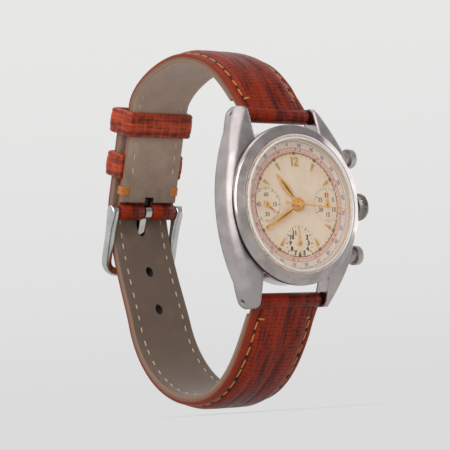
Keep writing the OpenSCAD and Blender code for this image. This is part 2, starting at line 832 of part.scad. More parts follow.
module crown() {
    color(steel) dial_up() translate([crown_x, 0, crown_h]) rotate([0, 90, 0]) difference() {
        rotate_extrude() polygon(concat([[0, 0], [crown_r - 0.5, 0], [crown_r, 0.7]],
            arc([crown_r - 0.9, crown_len - 0.9], 0.9, 0, 80, 5), [[0, crown_len]]));
        for (i = [0:crown_flutes - 1]) rotate(360 / crown_flutes * i)
            translate([crown_r + 0.12, 0, -1]) cylinder(r = 0.3, h = crown_len - 0.2);
        translate([0, 0, -1]) cylinder(r = stem_r + eps, h = 1 + stem_seat);
    }
}

module winding_stem() {
    color(steel) dial_up() translate([stem_end, 0, crown_h]) rotate([0, 90, 0])
        cylinder(r = stem_r, h = crown_x + stem_seat - stem_end);
}

module winding_pinion() {
    color(steel) dial_up() translate([pinion_x, 0, crown_h]) rotate([0, 90, 0]) difference() {
        toothed(14, 0.135, pinion_len);
        translate([0, 0, -1]) cylinder(r = stem_r + run_gap, h = big);
    }
}

// Spring seat inside a pusher head, and the fixed collar that the head slides over
head_bore_r = pusher_r - 0.5;
head_bore_len = pusher_stroke + 0.4;
collar_r = head_bore_r - 0.08;
collar_floor = 0.4;
collar_lap = 0.3;
collar_x = pusher_seat - 0.8 - collar_floor;
spring_r = head_bore_r - 0.45;

module pusher(s) {
    color(steel) dial_up() translate([pusher_x, s * pusher_y, crown_h]) rotate([0, 90, 0]) {
        difference() {
            rotate_extrude() polygon(concat([[0, 0], [pusher_r, 0]],
                arc([pusher_r - 0.8, pusher_len - 0.8], 0.8, 0, 80, 5), [[0, pusher_len]]));
            translate([0, 0, -1]) cylinder(r = head_bore_r, h = 1 + head_bore_len);
        }
        translate([0, 0, pusher_in + 0.2 - pusher_x])
            cylinder(r = pusher_stem_r, h = pusher_x - pusher_in + head_bore_len);
    }
}

module pusher_spring(s) {
    far = pusher_x + head_bore_len - 0.05;
    near = collar_x + collar_floor + 0.05;
    color("slategray") dial_up() translate([near, s * pusher_y, crown_h]) rotate([0, 90, 0])
        ring(spring_r, pusher_stem_r + 0.05, far - near);
}

module pusher_start() {
    pusher(1);
}

module pusher_reset() {
    pusher(-1);
}

module pusher_spring_start() {
    pusher_spring(1);
}

module pusher_spring_reset() {
    pusher_spring(-1);
}

// Strap: each half follows cubic curves in the (Y, Z) plane, from its spring bar to the buckle

bar_up = [-bar_h, bar_reach];
bar_down = [-bar_h, -bar_reach];
buckle_at = [buckle_y, buckle_z];
// Direction up the straight buckle half, and the outward normal there
run_lean = 18.4;
run_dir = [-sin(run_lean), cos(run_lean)];
run_out = [cos(run_lean), sin(run_lean)];
straight = 25.7;
overlap = 3.8;
tail_s = 23.6;
curve_steps = 12;

buckle_curves = [
    [bar_up, [5.7, 31], [7.9, 33.6], [17, 36.2]],
    [[17, 36.2], [25.7, 38.7], buckle_at + run_dir * (straight + 4.9), buckle_at + run_dir * straight],
    [for (k = [1, 0.67, 0.33, 0]) buckle_at + run_dir * straight * k]];
hole_curves = [
    [bar_down, [3, -26], [7.4, -40.3], [21.4, -40.9]],
    [[21.4, -40.9], [32.8, -41.4], [43, -34.3], [45.8, -22.2]],
    [[45.8, -22.2], [47.1, -16.7], buckle_at + run_out * overlap - run_dir * 6, buckle_at + run_out * overlap
        + run_dir * 3],
    [for (k = [0, 0.33, 0.67, 1]) buckle_at + run_out * overlap + run_dir * (3 + (tail_s - 3) * k)]];

function bezier(c, t) = (1 - t)^3 * c[0] + 3 * (1 - t)^2 * t * c[1] + 3 * (1 - t) * t^2 * c[2] + t^3 * c[3];
function path(curves) = [for (c = curves, i = [0:curve_steps]) if (i > 0 || c == curves[0])
    bezier(c, i / curve_steps)];
function unit(v) = v / norm(v);
function tangent(p, i) = unit(p[min(i + 1, len(p) - 1)] - p[max(i - 1, 0)]);

// Half section of the padded leather: share of the half width, share of the thickness
pad_section = [[1, 0], [1, 0.4], [0.9, 0.58], [0.78, 0.6], [0.62, 0.9], [0.45, 1], [0.25, 0.88], [0, 0.78]];
flat_section = [[1, 0], [1, 1], [0, 1]];
function whole(half) = concat([[0, 0]], half, [for (i = [len(half) - 2:-1:0]) [-half[i][0], half[i][1]]]);

// Thickness of the leather at share f of the length: thin eye, padded body, thin end
function pad_at(f) = strap_thin + (strap_pad - strap_thin) * min(1, f / 0.08) * max(0, 1 - f / 0.8)^0.8;
function width_at(f) = strap_w + (strap_end_w - strap_w) * min(1, f / 0.75);

// One swept band: rings of the section set on the path, from first to last, side +1 outwards
module band(p, section, first, last, turn, side, thick) {
    n = len(section);
    total = len(p) - 1;
    pts = [for (i = [first:last]) let (t = tangent(p, i), out = turn * [t[1], -t[0]] * side,
        f = i / total, w = width_at(f) / 2, h = thick > 0 ? thick : pad_at(f))
        for (q = section) [q[0] * w, p[i][0] + out[0] * q[1] * h, p[i][1] + out[1] * q[1] * h]];
    rows = last - first;
    flip = turn * side > 0;
    walls = [for (r = [0:rows - 1], k = [0:n - 1]) let (a = r * n + k, b = r * n + (k + 1) % n)
        for (tri = [[a, b, b + n], [a, b + n, a + n]]) tri];
    caps = concat([for (k = [1:n - 2]) [0, k + 1, k]],
        [for (k = [1:n - 2]) [rows * n, rows * n + k, rows * n + k + 1]]);
    faces = [for (tri = concat(walls, caps)) flip ? [tri[0], tri[2], tri[1]] : tri];
    polyhedron(pts, faces);
}

module across(p, r, w) {
    translate([0, p[0], p[1]]) rotate([0, 90, 0]) cylinder(r = r, h = w, center = true);
}

buckle_path = path(buckle_curves);
hole_path = path(hole_curves);
buckle_last = len(buckle_path) - 1;
hole_last = len(hole_path) - 1;
wrap_r = 1.9;
slot_w = tongue_w + 0.8;
slot_reach = wrap_r + 1.4;

module buckle_strap() {
    color(leather) difference() {
        union() {
            band(buckle_path, whole(pad_section), 0, buckle_last, -1, 1, 0);
            across(bar_up, eye_r, strap_w);
            across(buckle_at, wrap_r, strap_end_w);
        }
        across(bar_up, spring_bar_r + run_gap, big);
        across(buckle_at, buckle_bar_r + run_gap, big);
        translate([0, buckle_y, buckle_z]) cube([slot_w, 2 * slot_reach, 2 * slot_reach], center = true);
    }
}

module buckle_strap_lining() {
    color(lining_tint) band(buckle_path, whole(flat_section), 2, buckle_last - 1, -1, -1, lining_t);
}

module hole_strap() {
    color(leather) difference() {
        union() {
            band(hole_path, whole(pad_section), 0, hole_last, 1, 1, 0);
            across(bar_down, eye_r, strap_w);
        }
        across(bar_down, spring_bar_r + run_gap, big);
        tongue_hole();
        for (k = [1, 2]) free_hole(k);
    }
}

module hole_strap_lining() {
    color(lining_tint) difference() {
        band(hole_path, whole(flat_section), 2, hole_last, 1, -1, lining_t);
        tongue_hole();
        for (k = [1, 2]) free_hole(k);
    }
}

// Buckle

frame_angle = -70.6;
tongue_angle = -67.1;
tongue_lift = 0.85;
hole_r = 1.25;

// Hole that the tongue runs through, along the tongue
module tongue_hole() {
    translate([0, buckle_y, buckle_z]) rotate([tongue_angle, 0, 0]) translate([0, 2.5, tongue_lift])
        rotate([-90, 0, 0]) cylinder(r = hole_r, h = 9);
}

free_hole_r = 1;
free_hole_lean = 23;

// Free holes further down the strap
module free_hole(k) {
    p = bezier(hole_curves[2], 0.75 - 0.29 * k);
    translate([0, p[0], p[1]]) rotate([0, 90, 0]) rotate([0, 0, free_hole_lean]) rotate([-90, 0, 0])
        cylinder(r = free_hole_r, h = big / 5, center = true);
}

module along_run(s) {
    translate([0, buckle_y, buckle_z]) rotate([run_lean, 0, 0])
        translate([0, 0, s]) children();
}

// Places of the keepers above the buckle bar, and the top of the opening inside both
fixed_keeper_s = 8;
floating_keeper_s = 18.5;
keeper_top = overlap + strap_thin + keeper_gap;

// Bow sewn to both edges of the strap under its lining
module fixed_keeper() {
    color(leather) along_run(fixed_keeper_s) linear_extrude(keeper_h) difference() {
        translate([-strap_end_w / 2 - keeper_wall, 0])
            square([strap_end_w + 2 * keeper_wall, keeper_top + keeper_wall]);
        translate([-strap_end_w / 2, -1]) square([strap_end_w, keeper_top + 1]);
    }
}

// Loose loop around both layers of the strap
module floating_keeper() {
    w = strap_end_w + 2 * keeper_gap;
    low = -lining_t - keeper_gap;
    color(leather) along_run(floating_keeper_s) linear_extrude(keeper_h) difference() {
        translate([-w / 2 - keeper_wall, low - keeper_wall])
            square([w + 2 * keeper_wall, keeper_top - low + 2 * keeper_wall]);
        translate([-w / 2, low]) square([w, keeper_top - low]);
    }
}

arm_x = strap_end_w / 2 + 1.5;

module buckle_bar() {
    color(steel) across(buckle_at, buckle_bar_r, 2 * arm_x + 1.6);
}

module buckle_frame() {
    corner = 3;
    color(steel) translate([0, buckle_y, buckle_z]) rotate([frame_angle, 0, 0]) difference() {
        union() {
            for (s = [-1, 1]) {
                translate([s * arm_x, 0, 0]) rotate([-90, 0, 0])
                    cylinder(r = frame_r, h = frame_len - corner);
                translate([s * arm_x, 0, 0]) rotate([0, 90, 0]) cylinder(r = 1.7, h = 1.6, center = true);
                translate([s * (arm_x - corner), frame_len - corner, 0]) rotate([0, 0, s > 0 ? 0 : 90])
                    rotate_extrude(angle = 90) translate([corner, 0]) circle(frame_r);
            }
            translate([0, frame_len, 0]) rotate([0, 90, 0])
                cylinder(r = frame_r, h = 2 * (arm_x - corner), center = true);
        }
        rotate([0, 90, 0]) cylinder(r = buckle_bar_r + run_gap, h = big, center = true);
    }
}

module buckle_tongue() {
    color(steel) translate([0, buckle_y, buckle_z]) rotate([tongue_angle, 0, 0]) difference() {
        union() {
            rotate([0, 90, 0]) cylinder(r = buckle_bar_r + tongue_t * 0.75, h = tongue_w, center = true);
            translate([-tongue_w / 2, 0, tongue_lift - tongue_t / 2])
                cube([tongue_w, frame_len + 1, tongue_t]);
        }
        rotate([0, 90, 0]) cylinder(r = buckle_bar_r + run_gap, h = big, center = true);
    }
}

mid_case();
bezel();
crystal();
case_back();
case_back_gasket();
crown_tube();
pusher_tubes();
lug_spring_bars();
dial();
hour_markers();
movement_ring();
main_plate();
barrel_bridge();
train_bridge();
balance_cock();
chronograph_bridge();
bridge_screws();
barrel();
mainspring();
ratchet_wheel();
centre_wheel();
cannon_pinion();
minute_wheel();
hour_wheel();
third_wheel();
fourth_wheel();
escape_wheel();
pallet_fork();
balance_wheel();
hairspring();
chrono_runner();
minute_counter_wheel();
hour_counter_wheel();
hour_hand();
minute_hand();
sweep_hand();
seconds_hand();
minute_counter_hand();
hour_counter_hand();
crown();
winding_stem();
winding_pinion();
pusher_start();
pusher_reset();
pusher_spring_start();
pusher_spring_reset();
buckle_strap();
buckle_strap_lining();
hole_strap();
hole_strap_lining();
fixed_keeper();
floating_keeper();
buckle_bar();
buckle_frame();
buckle_tongue();
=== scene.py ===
"""Visual model of a hand-wound three-register chronograph wristwatch on a padded leather strap."""

from __future__ import annotations

import json
import logging
import math
from dataclasses import dataclass, field
from enum import Enum
from functools import reduce
from itertools import product
from typing import Callable, Iterable, Protocol, Sequence, Union

import bmesh
import bpy
from mathutils import Matrix, Vector


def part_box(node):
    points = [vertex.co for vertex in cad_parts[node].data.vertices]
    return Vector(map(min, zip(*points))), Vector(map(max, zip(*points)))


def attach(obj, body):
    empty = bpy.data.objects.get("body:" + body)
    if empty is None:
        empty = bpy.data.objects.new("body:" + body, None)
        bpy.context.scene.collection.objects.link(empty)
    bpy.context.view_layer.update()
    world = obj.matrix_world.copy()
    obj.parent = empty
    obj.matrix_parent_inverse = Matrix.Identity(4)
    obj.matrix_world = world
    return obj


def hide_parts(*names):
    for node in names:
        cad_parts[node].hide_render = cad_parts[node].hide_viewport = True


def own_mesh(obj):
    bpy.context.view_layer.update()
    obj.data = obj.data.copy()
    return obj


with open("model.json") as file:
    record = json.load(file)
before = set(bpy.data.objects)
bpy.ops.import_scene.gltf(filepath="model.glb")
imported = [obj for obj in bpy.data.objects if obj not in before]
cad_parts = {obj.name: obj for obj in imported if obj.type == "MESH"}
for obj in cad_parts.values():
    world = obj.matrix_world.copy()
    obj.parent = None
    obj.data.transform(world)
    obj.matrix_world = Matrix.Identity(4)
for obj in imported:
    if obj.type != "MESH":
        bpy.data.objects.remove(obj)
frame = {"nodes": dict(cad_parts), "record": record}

LOG = logging.getLogger("watch")
MM = 0.001

Colour = tuple[float, float, float]
Place = tuple[float, float, float]
Flat = tuple[float, float]
Number = Union[int, float]
Material = bpy.types.Material
Piece = bpy.types.Object
Socket = bpy.types.NodeSocket

# Dial plane to row frame: x stays, 12 o'clock is +Z, height above the case back is -Y.
DIAL_UP = Matrix(((1, 0, 0, 0), (0, 0, -1, 0), (0, 1, 0, 0), (0, 0, 0, 1)))
X_AXIS, Y_AXIS, Z_AXIS = Vector((1, 0, 0)), Vector((0, 1, 0)), Vector((0, 0, 1))
# Height in metres of fine grain and brushed lines
HAIR = 0.00001


def rgb(red: Number, green: Number, blue: Number) -> Colour:
    """Linear colour from display values between 0 and 255.

    Args:
        red: Display red.
        green: Display green.
        blue: Display blue.

    Returns:
        The colour as linear values between 0 and 1.
    """
    def linear(value: Number) -> float:
        """One display channel as a linear value."""
        share = value / 255
        return share / 12.92 if share <= 0.04045 else ((share + 0.055) / 1.055) ** 2.4
    return linear(red), linear(green), linear(blue)


def grey(level: float) -> Colour:
    """A grey of one linear level."""
    return level, level, level


def darker(colour: Colour, share: float) -> Colour:
    """A colour brought down to a share of its light."""
    return tuple(channel * share for channel in colour)


def angles(count: int) -> list[float]:
    """Angles of points spread evenly round a circle."""
    return [math.tau * k / count for k in range(count)]


def hoop(centre: Vector, side: Vector, up: Vector, wide: float, tall: float, count: int) -> list[Vector]:
    """Points round an ellipse.

    Args:
        centre: Its middle.
        side: Direction of its width.
        up: Direction of its height.
        wide: Half its width.
        tall: Half its height.
        count: Number of points.

    Returns:
        The points in turning order.
    """
    return [centre + side * (wide * math.cos(turn)) + up * (tall * math.sin(turn)) for turn in angles(count)]


class Signal:
    """A shader value whose Python operators add Math nodes."""

    def __init__(self, graph: "Graph", socket: Socket) -> None:
        """Wraps one output socket of a graph."""
        self.graph = graph
        self.socket = socket

    def __add__(self, other: "Level") -> "Signal":
        """Sum with another value."""
        return self.graph.math("ADD", self, other)

    def __radd__(self, other: "Level") -> "Signal":
        """Sum with a number on the left."""
        return self.graph.math("ADD", other, self)

    def __sub__(self, other: "Level") -> "Signal":
        """Difference from another value."""
        return self.graph.math("SUBTRACT", self, other)

    def __rsub__(self, other: "Level") -> "Signal":
        """Difference of a number and this value."""
        return self.graph.math("SUBTRACT", other, self)

    def __mul__(self, other: "Level") -> "Signal":
        """Product with another value."""
        return self.graph.math("MULTIPLY", self, other)

    def __rmul__(self, other: "Level") -> "Signal":
        """Product with a number on the left."""
        return self.graph.math("MULTIPLY", other, self)

    def __truediv__(self, other: "Level") -> "Signal":
        """Quotient by another value."""
        return self.graph.math("DIVIDE", self, other)

    def __pow__(self, other: "Level") -> "Signal":
        """Power of this value."""
        return self.graph.math("POWER", self, other)

    def __abs__(self) -> "Signal":
        """Size without sign."""
        return self.graph.math("ABSOLUTE", self)

    def floor(self) -> "Signal":
        """Whole number below this value."""
        return self.graph.math("FLOOR", self)

    def fract(self) -> "Signal":
        """Part after the decimal point."""
        return self.graph.math("FRACT", self)

    def least(self, other: "Level") -> "Signal":
        """Lower of two values."""
        return self.graph.math("MINIMUM", self, other)

    def most(self, other: "Level") -> "Signal":
        """Higher of two values."""
        return self.graph.math("MAXIMUM", self, other)

    def sway(self, amount: float) -> "Signal":
        """Distance of a noise value from its middle, times an amount."""
        return (self - 0.5) * amount

    def pulse(self, middle: float, reach: float) -> "Signal":
        """1 at a value, falling to 0 at a distance from it."""
        return abs(self - middle).span(reach, 0.0)

    def span(self, low: float, high: float, first: float = 0.0, last: float = 1.0) -> "Signal":
        """Maps a range smoothly onto another, held at the ends.

        Args:
            low: Value that gives first.
            high: Value that gives last.
            first: Result at the low end.
            last: Result at the high end.

        Returns:
            The mapped value.
        """
        node = self.graph.node("ShaderNodeMapRange", {"interpolation_type": "SMOOTHSTEP"},
                               {0: self, 1: low, 2: high, 3: first, 4: last})
        return Signal(self.graph, node.outputs[0])


Level = Union[Signal, int, float]


def from_axis(x: Signal, y: Signal) -> Signal:
    """Distance of a point from an axis."""
    return (x * x + y * y) ** 0.5


class Graph:
    """Node tree of one material or world, with short ways to add nodes."""

    def __init__(self, name: str, world: bpy.types.World | None = None) -> None:
        """Starts an empty material of that name, or takes over a world."""
        self.holder = world or bpy.data.materials.new(name)
        self.holder.use_nodes = True
        self.tree = self.holder.node_tree
        self.tree.nodes.clear()
        self.output = self.tree.nodes.new("ShaderNodeOutputWorld" if world else "ShaderNodeOutputMaterial")

    @property
    def material(self) -> Material:
        """The finished material."""
        return self.holder

    def node(self, kind: str, settings: dict | None = None, inputs: dict | None = None) -> bpy.types.Node:
        """Adds a node.

        Args:
            kind: Blender's type name of the node.
            settings: Node properties, set before the sockets.
            inputs: Values or links by socket name or number.

        Returns:
            The new node.
        """
        made = self.tree.nodes.new(kind)
        for key, value in (settings or {}).items():
            setattr(made, key, value)
        for key, value in (inputs or {}).items():
            self.feed(made.inputs[key], value)
        return made

    def feed(self, socket: Socket, value: object) -> None:
        """Links or sets one input socket."""
        if isinstance(value, Signal):
            value = value.socket
        if isinstance(value, Socket):
            self.tree.links.new(value, socket)
        elif isinstance(value, (tuple, list)) and socket.type == "RGBA" and len(value) == 3:
            socket.default_value = (*value, 1)
        else:
            socket.default_value = value

    def math(self, operation: str, *values: Level) -> Signal:
        """One Math node on values.

        Args:
            operation: Name of the operation.
            values: Its operands.

        Returns:
            The result.
        """
        made = self.node("ShaderNodeMath", {"operation": operation}, dict(enumerate(values)))
        return Signal(self, made.outputs[0])

    def place(self, scale: float = 1 / MM) -> Socket:
        """Position in the row frame, by default in millimetres."""
        coords = self.node("ShaderNodeTexCoord")
        made = self.node("ShaderNodeVectorMath", {"operation": "SCALE"},
                         {0: coords.outputs["Object"], "Scale": scale})
        return made.outputs[0]

    def pattern(self, layer: str) -> tuple[Signal, Signal]:
        """Both numbers of a named pattern layer of the mesh.

        Args:
            layer: Name of the UV layer, which holds millimetres.

        Returns:
            The distance across and the distance along.
        """
        source = self.node("ShaderNodeUVMap", {"uv_map": layer})
        return self.split(source.outputs[0])[:2]

    def split(self, vector: Socket) -> tuple[Signal, Signal, Signal]:
        """The three numbers of a vector."""
        made = self.node("ShaderNodeSeparateXYZ", None, {0: vector})
        return tuple(Signal(self, out) for out in made.outputs)

    def join(self, x: Level, y: Level, z: Level = 0.0) -> Socket:
        """A vector from three numbers."""
        return self.node("ShaderNodeCombineXYZ", None, {0: x, 1: y, 2: z}).outputs[0]

    def noise(self, vector: object, scale: float, detail: float = 3.0, rough: float = 0.55) -> Signal:
        """Noise between about 0.3 and 0.7.

        Args:
            vector: Where it is read.
            scale: Cells per unit.
            detail: Number of finer layers.
            rough: Share of each finer layer.

        Returns:
            The noise value.
        """
        made = self.node("ShaderNodeTexNoise", {"noise_dimensions": "3D"},
                         {"Vector": vector, "Scale": scale, "Detail": detail, "Roughness": rough})
        return Signal(self, made.outputs[0])

    def rays(self, *kinds: str) -> Signal:
        """1 for light rays of any of some kinds, and 0 for others.

        Args:
            kinds: Names of the kinds, such as Camera or Shadow.

        Returns:
            The value.
        """
        path = self.node("ShaderNodeLightPath")
        return reduce(Signal.most, [Signal(self, path.outputs[f"Is {kind} Ray"]) for kind in kinds])

    def blend(self, factor: Level, low: object, high: object) -> Socket:
        """Mixes two colours.

        Args:
            factor: 0 gives low and 1 gives high.
            low: First colour.
            high: Second colour.

        Returns:
            The mixed colour.
        """
        made = self.node("ShaderNodeMix", {"data_type": "RGBA"}, {0: factor, 6: low, 7: high})
        return made.outputs[2]

    def cloudy(self, noise: Signal, colour: Colour, share: float) -> Socket:
        """Colour that drops to a share of its light where a noise is low.

        Args:
            noise: The noise.
            colour: The colour where the noise is high.
            share: Share of the light that is left where it is low.

        Returns:
            The mixed colour.
        """
        return self.blend(noise.span(0.35, 0.65), darker(colour, share), colour)

    def bump(self, height: Signal, strength: float, distance: float, soften: float = 0.0) -> Socket:
        """Surface normal from a height.

        Args:
            height: Height between 0 and 1.
            strength: Share of the effect.
            distance: Real height in metres.
            soften: Radius in metres by which edges look rounded.

        Returns:
            The normal.
        """
        inputs = {"Height": height, "Strength": strength, "Distance": distance}
        if soften:
            inputs["Normal"] = self.node("ShaderNodeBevel", {"samples": 6}, {"Radius": soften}).outputs[0]
        return self.node("ShaderNodeBump", None, inputs).outputs[0]

    def surface(self, **sockets: object) -> bpy.types.Node:
        """Adds the main shader and connects it.

        Args:
            sockets: Values by socket name, with _ for a space.

        Returns:
            The shader node.
        """
        named = {key.replace("_", " "): value for key, value in sockets.items()}
        made = self.node("ShaderNodeBsdfPrincipled", None, named)
        self.feed(self.output.inputs["Surface"], made.outputs[0])
        return made

    def choose(self, factor: Level, low: bpy.types.Node, high: bpy.types.Node) -> None:
        """Mixes two shaders and connects the result.

        Args:
            factor: 0 gives low and 1 gives high.
            low: First shader node.
            high: Second shader node.
        """
        mixed = self.node("ShaderNodeMixShader", None, {0: factor, 1: low.outputs[0], 2: high.outputs[0]})
        self.feed(self.output.inputs["Surface"], mixed.outputs[0])


class Grain(Enum):
    """Fineness of the lines on a metal along X, Y and Z."""

    ALONG_STRAP = (9.0, 9.0, 0.5)
    ACROSS_DIAL = (0.5, 9.0, 9.0)
    NONE = (3.0, 3.0, 3.0)


class Finish(Protocol):
    """Anything that makes a material."""

    def build(self) -> Material:
        """Makes the material."""


def made_of(finish: Finish) -> Material:
    """Dataclass field that holds the material of a finish."""
    return field(default_factory=finish.build)


@dataclass(frozen=True)
class Steel:
    """Steel with brushed lines or a polish."""

    name: str
    colour: Colour
    roughness: float
    grain: Grain = Grain.NONE
    lines: float = 0.0
    soften: float = 0.0
    polished_mm: float = 0.0

    BRUSHED_BUMP, PLAIN_BUMP = 0.35, 0.12
    # Distance towards 12 or 6 at which the gap between the lugs starts, and how much smoother it is
    GAP_FROM, GAP_TO, GAP_POLISH = 11.9, 12.1, 0.34

    def build(self) -> Material:
        """Makes the material, with a polish up to a distance from the middle between the lugs."""
        graph = Graph(self.name)
        place = graph.place()
        stretch = graph.node("ShaderNodeVectorMath", {"operation": "MULTIPLY"},
                             {0: place, 1: self.grain.value})
        lines = graph.noise(stretch.outputs[0], scale=1.6)
        clouds = graph.noise(place, scale=0.22, detail=4.0)
        wear = graph.noise(place, scale=1.7, detail=5.0, rough=0.7)
        rough = self.roughness + clouds.sway(0.12) + wear.sway(0.1) + lines.sway(self.lines)
        if self.polished_mm:
            x, _, z = graph.split(place)
            inside = abs(x).span(self.polished_mm + 0.05, self.polished_mm)
            rough = rough - inside * abs(z).span(self.GAP_FROM, self.GAP_TO) * self.GAP_POLISH
        strength = self.BRUSHED_BUMP if self.lines else self.PLAIN_BUMP
        graph.surface(Base_Color=graph.cloudy(clouds, self.colour, 0.8), Metallic=1.0,
                      Roughness=rough.most(0.04),
                      Normal=graph.bump(lines + wear * 0.4, strength, HAIR, self.soften))
        return graph.material


@dataclass(frozen=True)
class Gilt:
    """Gold-coloured metal of the hands and markers."""

    name: str = "gilt"
    colour: Colour = rgb(252, 190, 104)

    def build(self) -> Material:
        """Makes the material."""
        graph = Graph(self.name)
        age = graph.noise(graph.place(), scale=1.3, detail=4.0)
        tone = graph.blend(age.span(0.35, 0.75), self.colour, darker(self.colour, 0.72))
        graph.surface(Base_Color=tone, Metallic=0.35, Roughness=0.3 + age.sway(0.25),
                      Normal=graph.bump(age, strength=0.1, distance=HAIR))
        return graph.material


@dataclass(frozen=True)
class Brass:
    """Brass of the hidden movement."""

    name: str
    colour: Colour
    roughness: float = 0.3

    def build(self) -> Material:
        """Makes the material with a fine grain."""
        graph = Graph(self.name)
        place = graph.place()
        grain = graph.noise(place, scale=6.0, detail=2.0)
        clouds = graph.noise(place, scale=0.4)
        tone = graph.blend(clouds.span(0.3, 0.7), self.colour, darker(self.colour, 0.8))
        graph.surface(Base_Color=tone, Metallic=1.0, Roughness=self.roughness + grain.sway(0.2),
                      Normal=graph.bump(grain, strength=0.15, distance=HAIR))
        return graph.material


@dataclass(frozen=True)
class Plain:
    """Paint, ink, thread, rubber, the painted shade of holes or the painted highlight of a clear edge, with a
    slight unevenness.
    """

    name: str
    colour: Colour
    roughness: float = 0.5
    mottle: float = 0.15
    cell: float = 1.5

    def build(self) -> Material:
        """Makes the material."""
        graph = Graph(self.name)
        uneven = graph.noise(graph.place(), self.cell, detail=4.0)
        graph.surface(Base_Color=graph.cloudy(uneven, self.colour, 1 - self.mottle),
                      Roughness=self.roughness + uneven.sway(0.2),
                      Normal=graph.bump(uneven, strength=0.1, distance=2 * HAIR))
        return graph.material


@dataclass(frozen=True)
class DialPaint:
    """Aged cream lacquer, warmer towards the rim, with a faint grain."""

    name: str = "dial_lacquer"
    pale: Colour = rgb(240, 220, 196)
    warm: Colour = rgb(228, 192, 156)
    rim_mm: float = 14.9

    def build(self) -> Material:
        """Makes the material."""
        graph = Graph(self.name)
        place = graph.place()
        x, _, z = graph.split(place)
        stain = graph.noise(place, scale=0.35, detail=5.0, rough=0.6)
        grain = graph.noise(place, scale=14.0, detail=2.0)
        age = (from_axis(x, z) / self.rim_mm) ** 3.0 * 0.35 + stain.sway(1.2) + 0.2
        tone = graph.blend(age.span(0.0, 1.0), self.pale, self.warm)
        graph.surface(Base_Color=tone, Roughness=0.42 + grain.sway(0.2), Specular_IOR_Level=0.3,
                      Normal=graph.bump(grain, strength=0.08, distance=HAIR))
        return graph.material


@dataclass(frozen=True)
class Bezel:
    """Steel ring: brushed slope, polished lip, painted shade at the seam below and the dial's reflection
    painted on its wall.
    """

    name: str = "bezel_steel"
    colour: Colour = rgb(186, 176, 173)
    # Cream painted on the inner wall as a reflection of the dial
    cream: Colour = rgb(212, 194, 176)
    bright: Colour = rgb(246, 242, 240)
    # Colour of the painted shade at the seam along the ring's foot
    gap: Colour = rgb(58, 52, 50)
    lip_mm: float = 15.5

    # Radius at which the inner wall, painted cream as the dial's reflection, ends and starts
    WALL_END, WALL_START = 15.08, 15.02
    # Height above the case back at which the painted shade at the seam ends and is full, and how much it
    # widens at the lower left
    SEAM_END, SEAM_FULL, SEAM_WIDER = 7.62, 7.42, 0.55

    def build(self) -> Material:
        """Makes the material from the distance to the dial centre."""
        graph = Graph(self.name)
        place = graph.place()
        x, down, z = graph.split(place)
        radius = from_axis(x, z)
        turned = graph.noise(graph.join(radius * 9.0, 0.0), scale=1.5)
        clouds = graph.noise(place, scale=0.25, detail=4.0)
        lip = radius.span(self.lip_mm + 0.1, self.lip_mm - 0.1)
        # Inner wall painted cream and not metallic, as a painted reflection of the dial
        wall = radius.span(self.WALL_END, self.WALL_START)
        # Painted shade at the seam along the foot of the ring, widest towards the lower left
        shade_side = ((x * -0.75 - z * 0.66) / radius).span(0.5, 0.85)
        seam_shade = (down * -1 - shade_side * self.SEAM_WIDER).span(self.SEAM_END, self.SEAM_FULL)
        tone = graph.blend(lip, graph.cloudy(clouds, self.colour, 0.72), self.bright)
        tone = graph.blend(seam_shade * (1 - wall), graph.blend(wall, tone, self.cream), self.gap)
        rough = 0.16 + turned.sway(0.14) + clouds.sway(0.1) - lip * 0.3 + wall * 0.3
        graph.surface(Base_Color=tone, Metallic=1 - wall, Roughness=rough.most(0.06),
                      Normal=graph.bump(turned * (1 - lip), strength=0.25, distance=HAIR))
        return graph.material


@dataclass(frozen=True)
class Crystal:
    """Clear domed crystal that lets light through to the dial."""

    name: str = "crystal_clear"
    bend: float = 1.19
    gloss: float = 1.49

    def build(self) -> Material:
        """Makes the material, which bends light at its outer face only and lets shadow rays pass."""
        graph = Graph(self.name)
        scuff = graph.noise(graph.place(), scale=2.5, detail=5.0)
        glass = graph.surface(Base_Color=(0.985, 0.985, 0.975), Roughness=(scuff - 0.45).most(0.0) * 0.08,
                              IOR=self.bend, Transmission_Weight=1.0, Coat_Weight=0.6, Coat_Roughness=0.02,
                              Coat_IOR=self.gloss)
        clear = graph.node("ShaderNodeBsdfTransparent", None, {"Color": grey(0.97)})
        inner = Signal(graph, graph.node("ShaderNodeNewGeometry").outputs["Backfacing"])
        graph.choose(graph.rays("Shadow", "Diffuse").most(inner), glass, clear)
        return graph.material


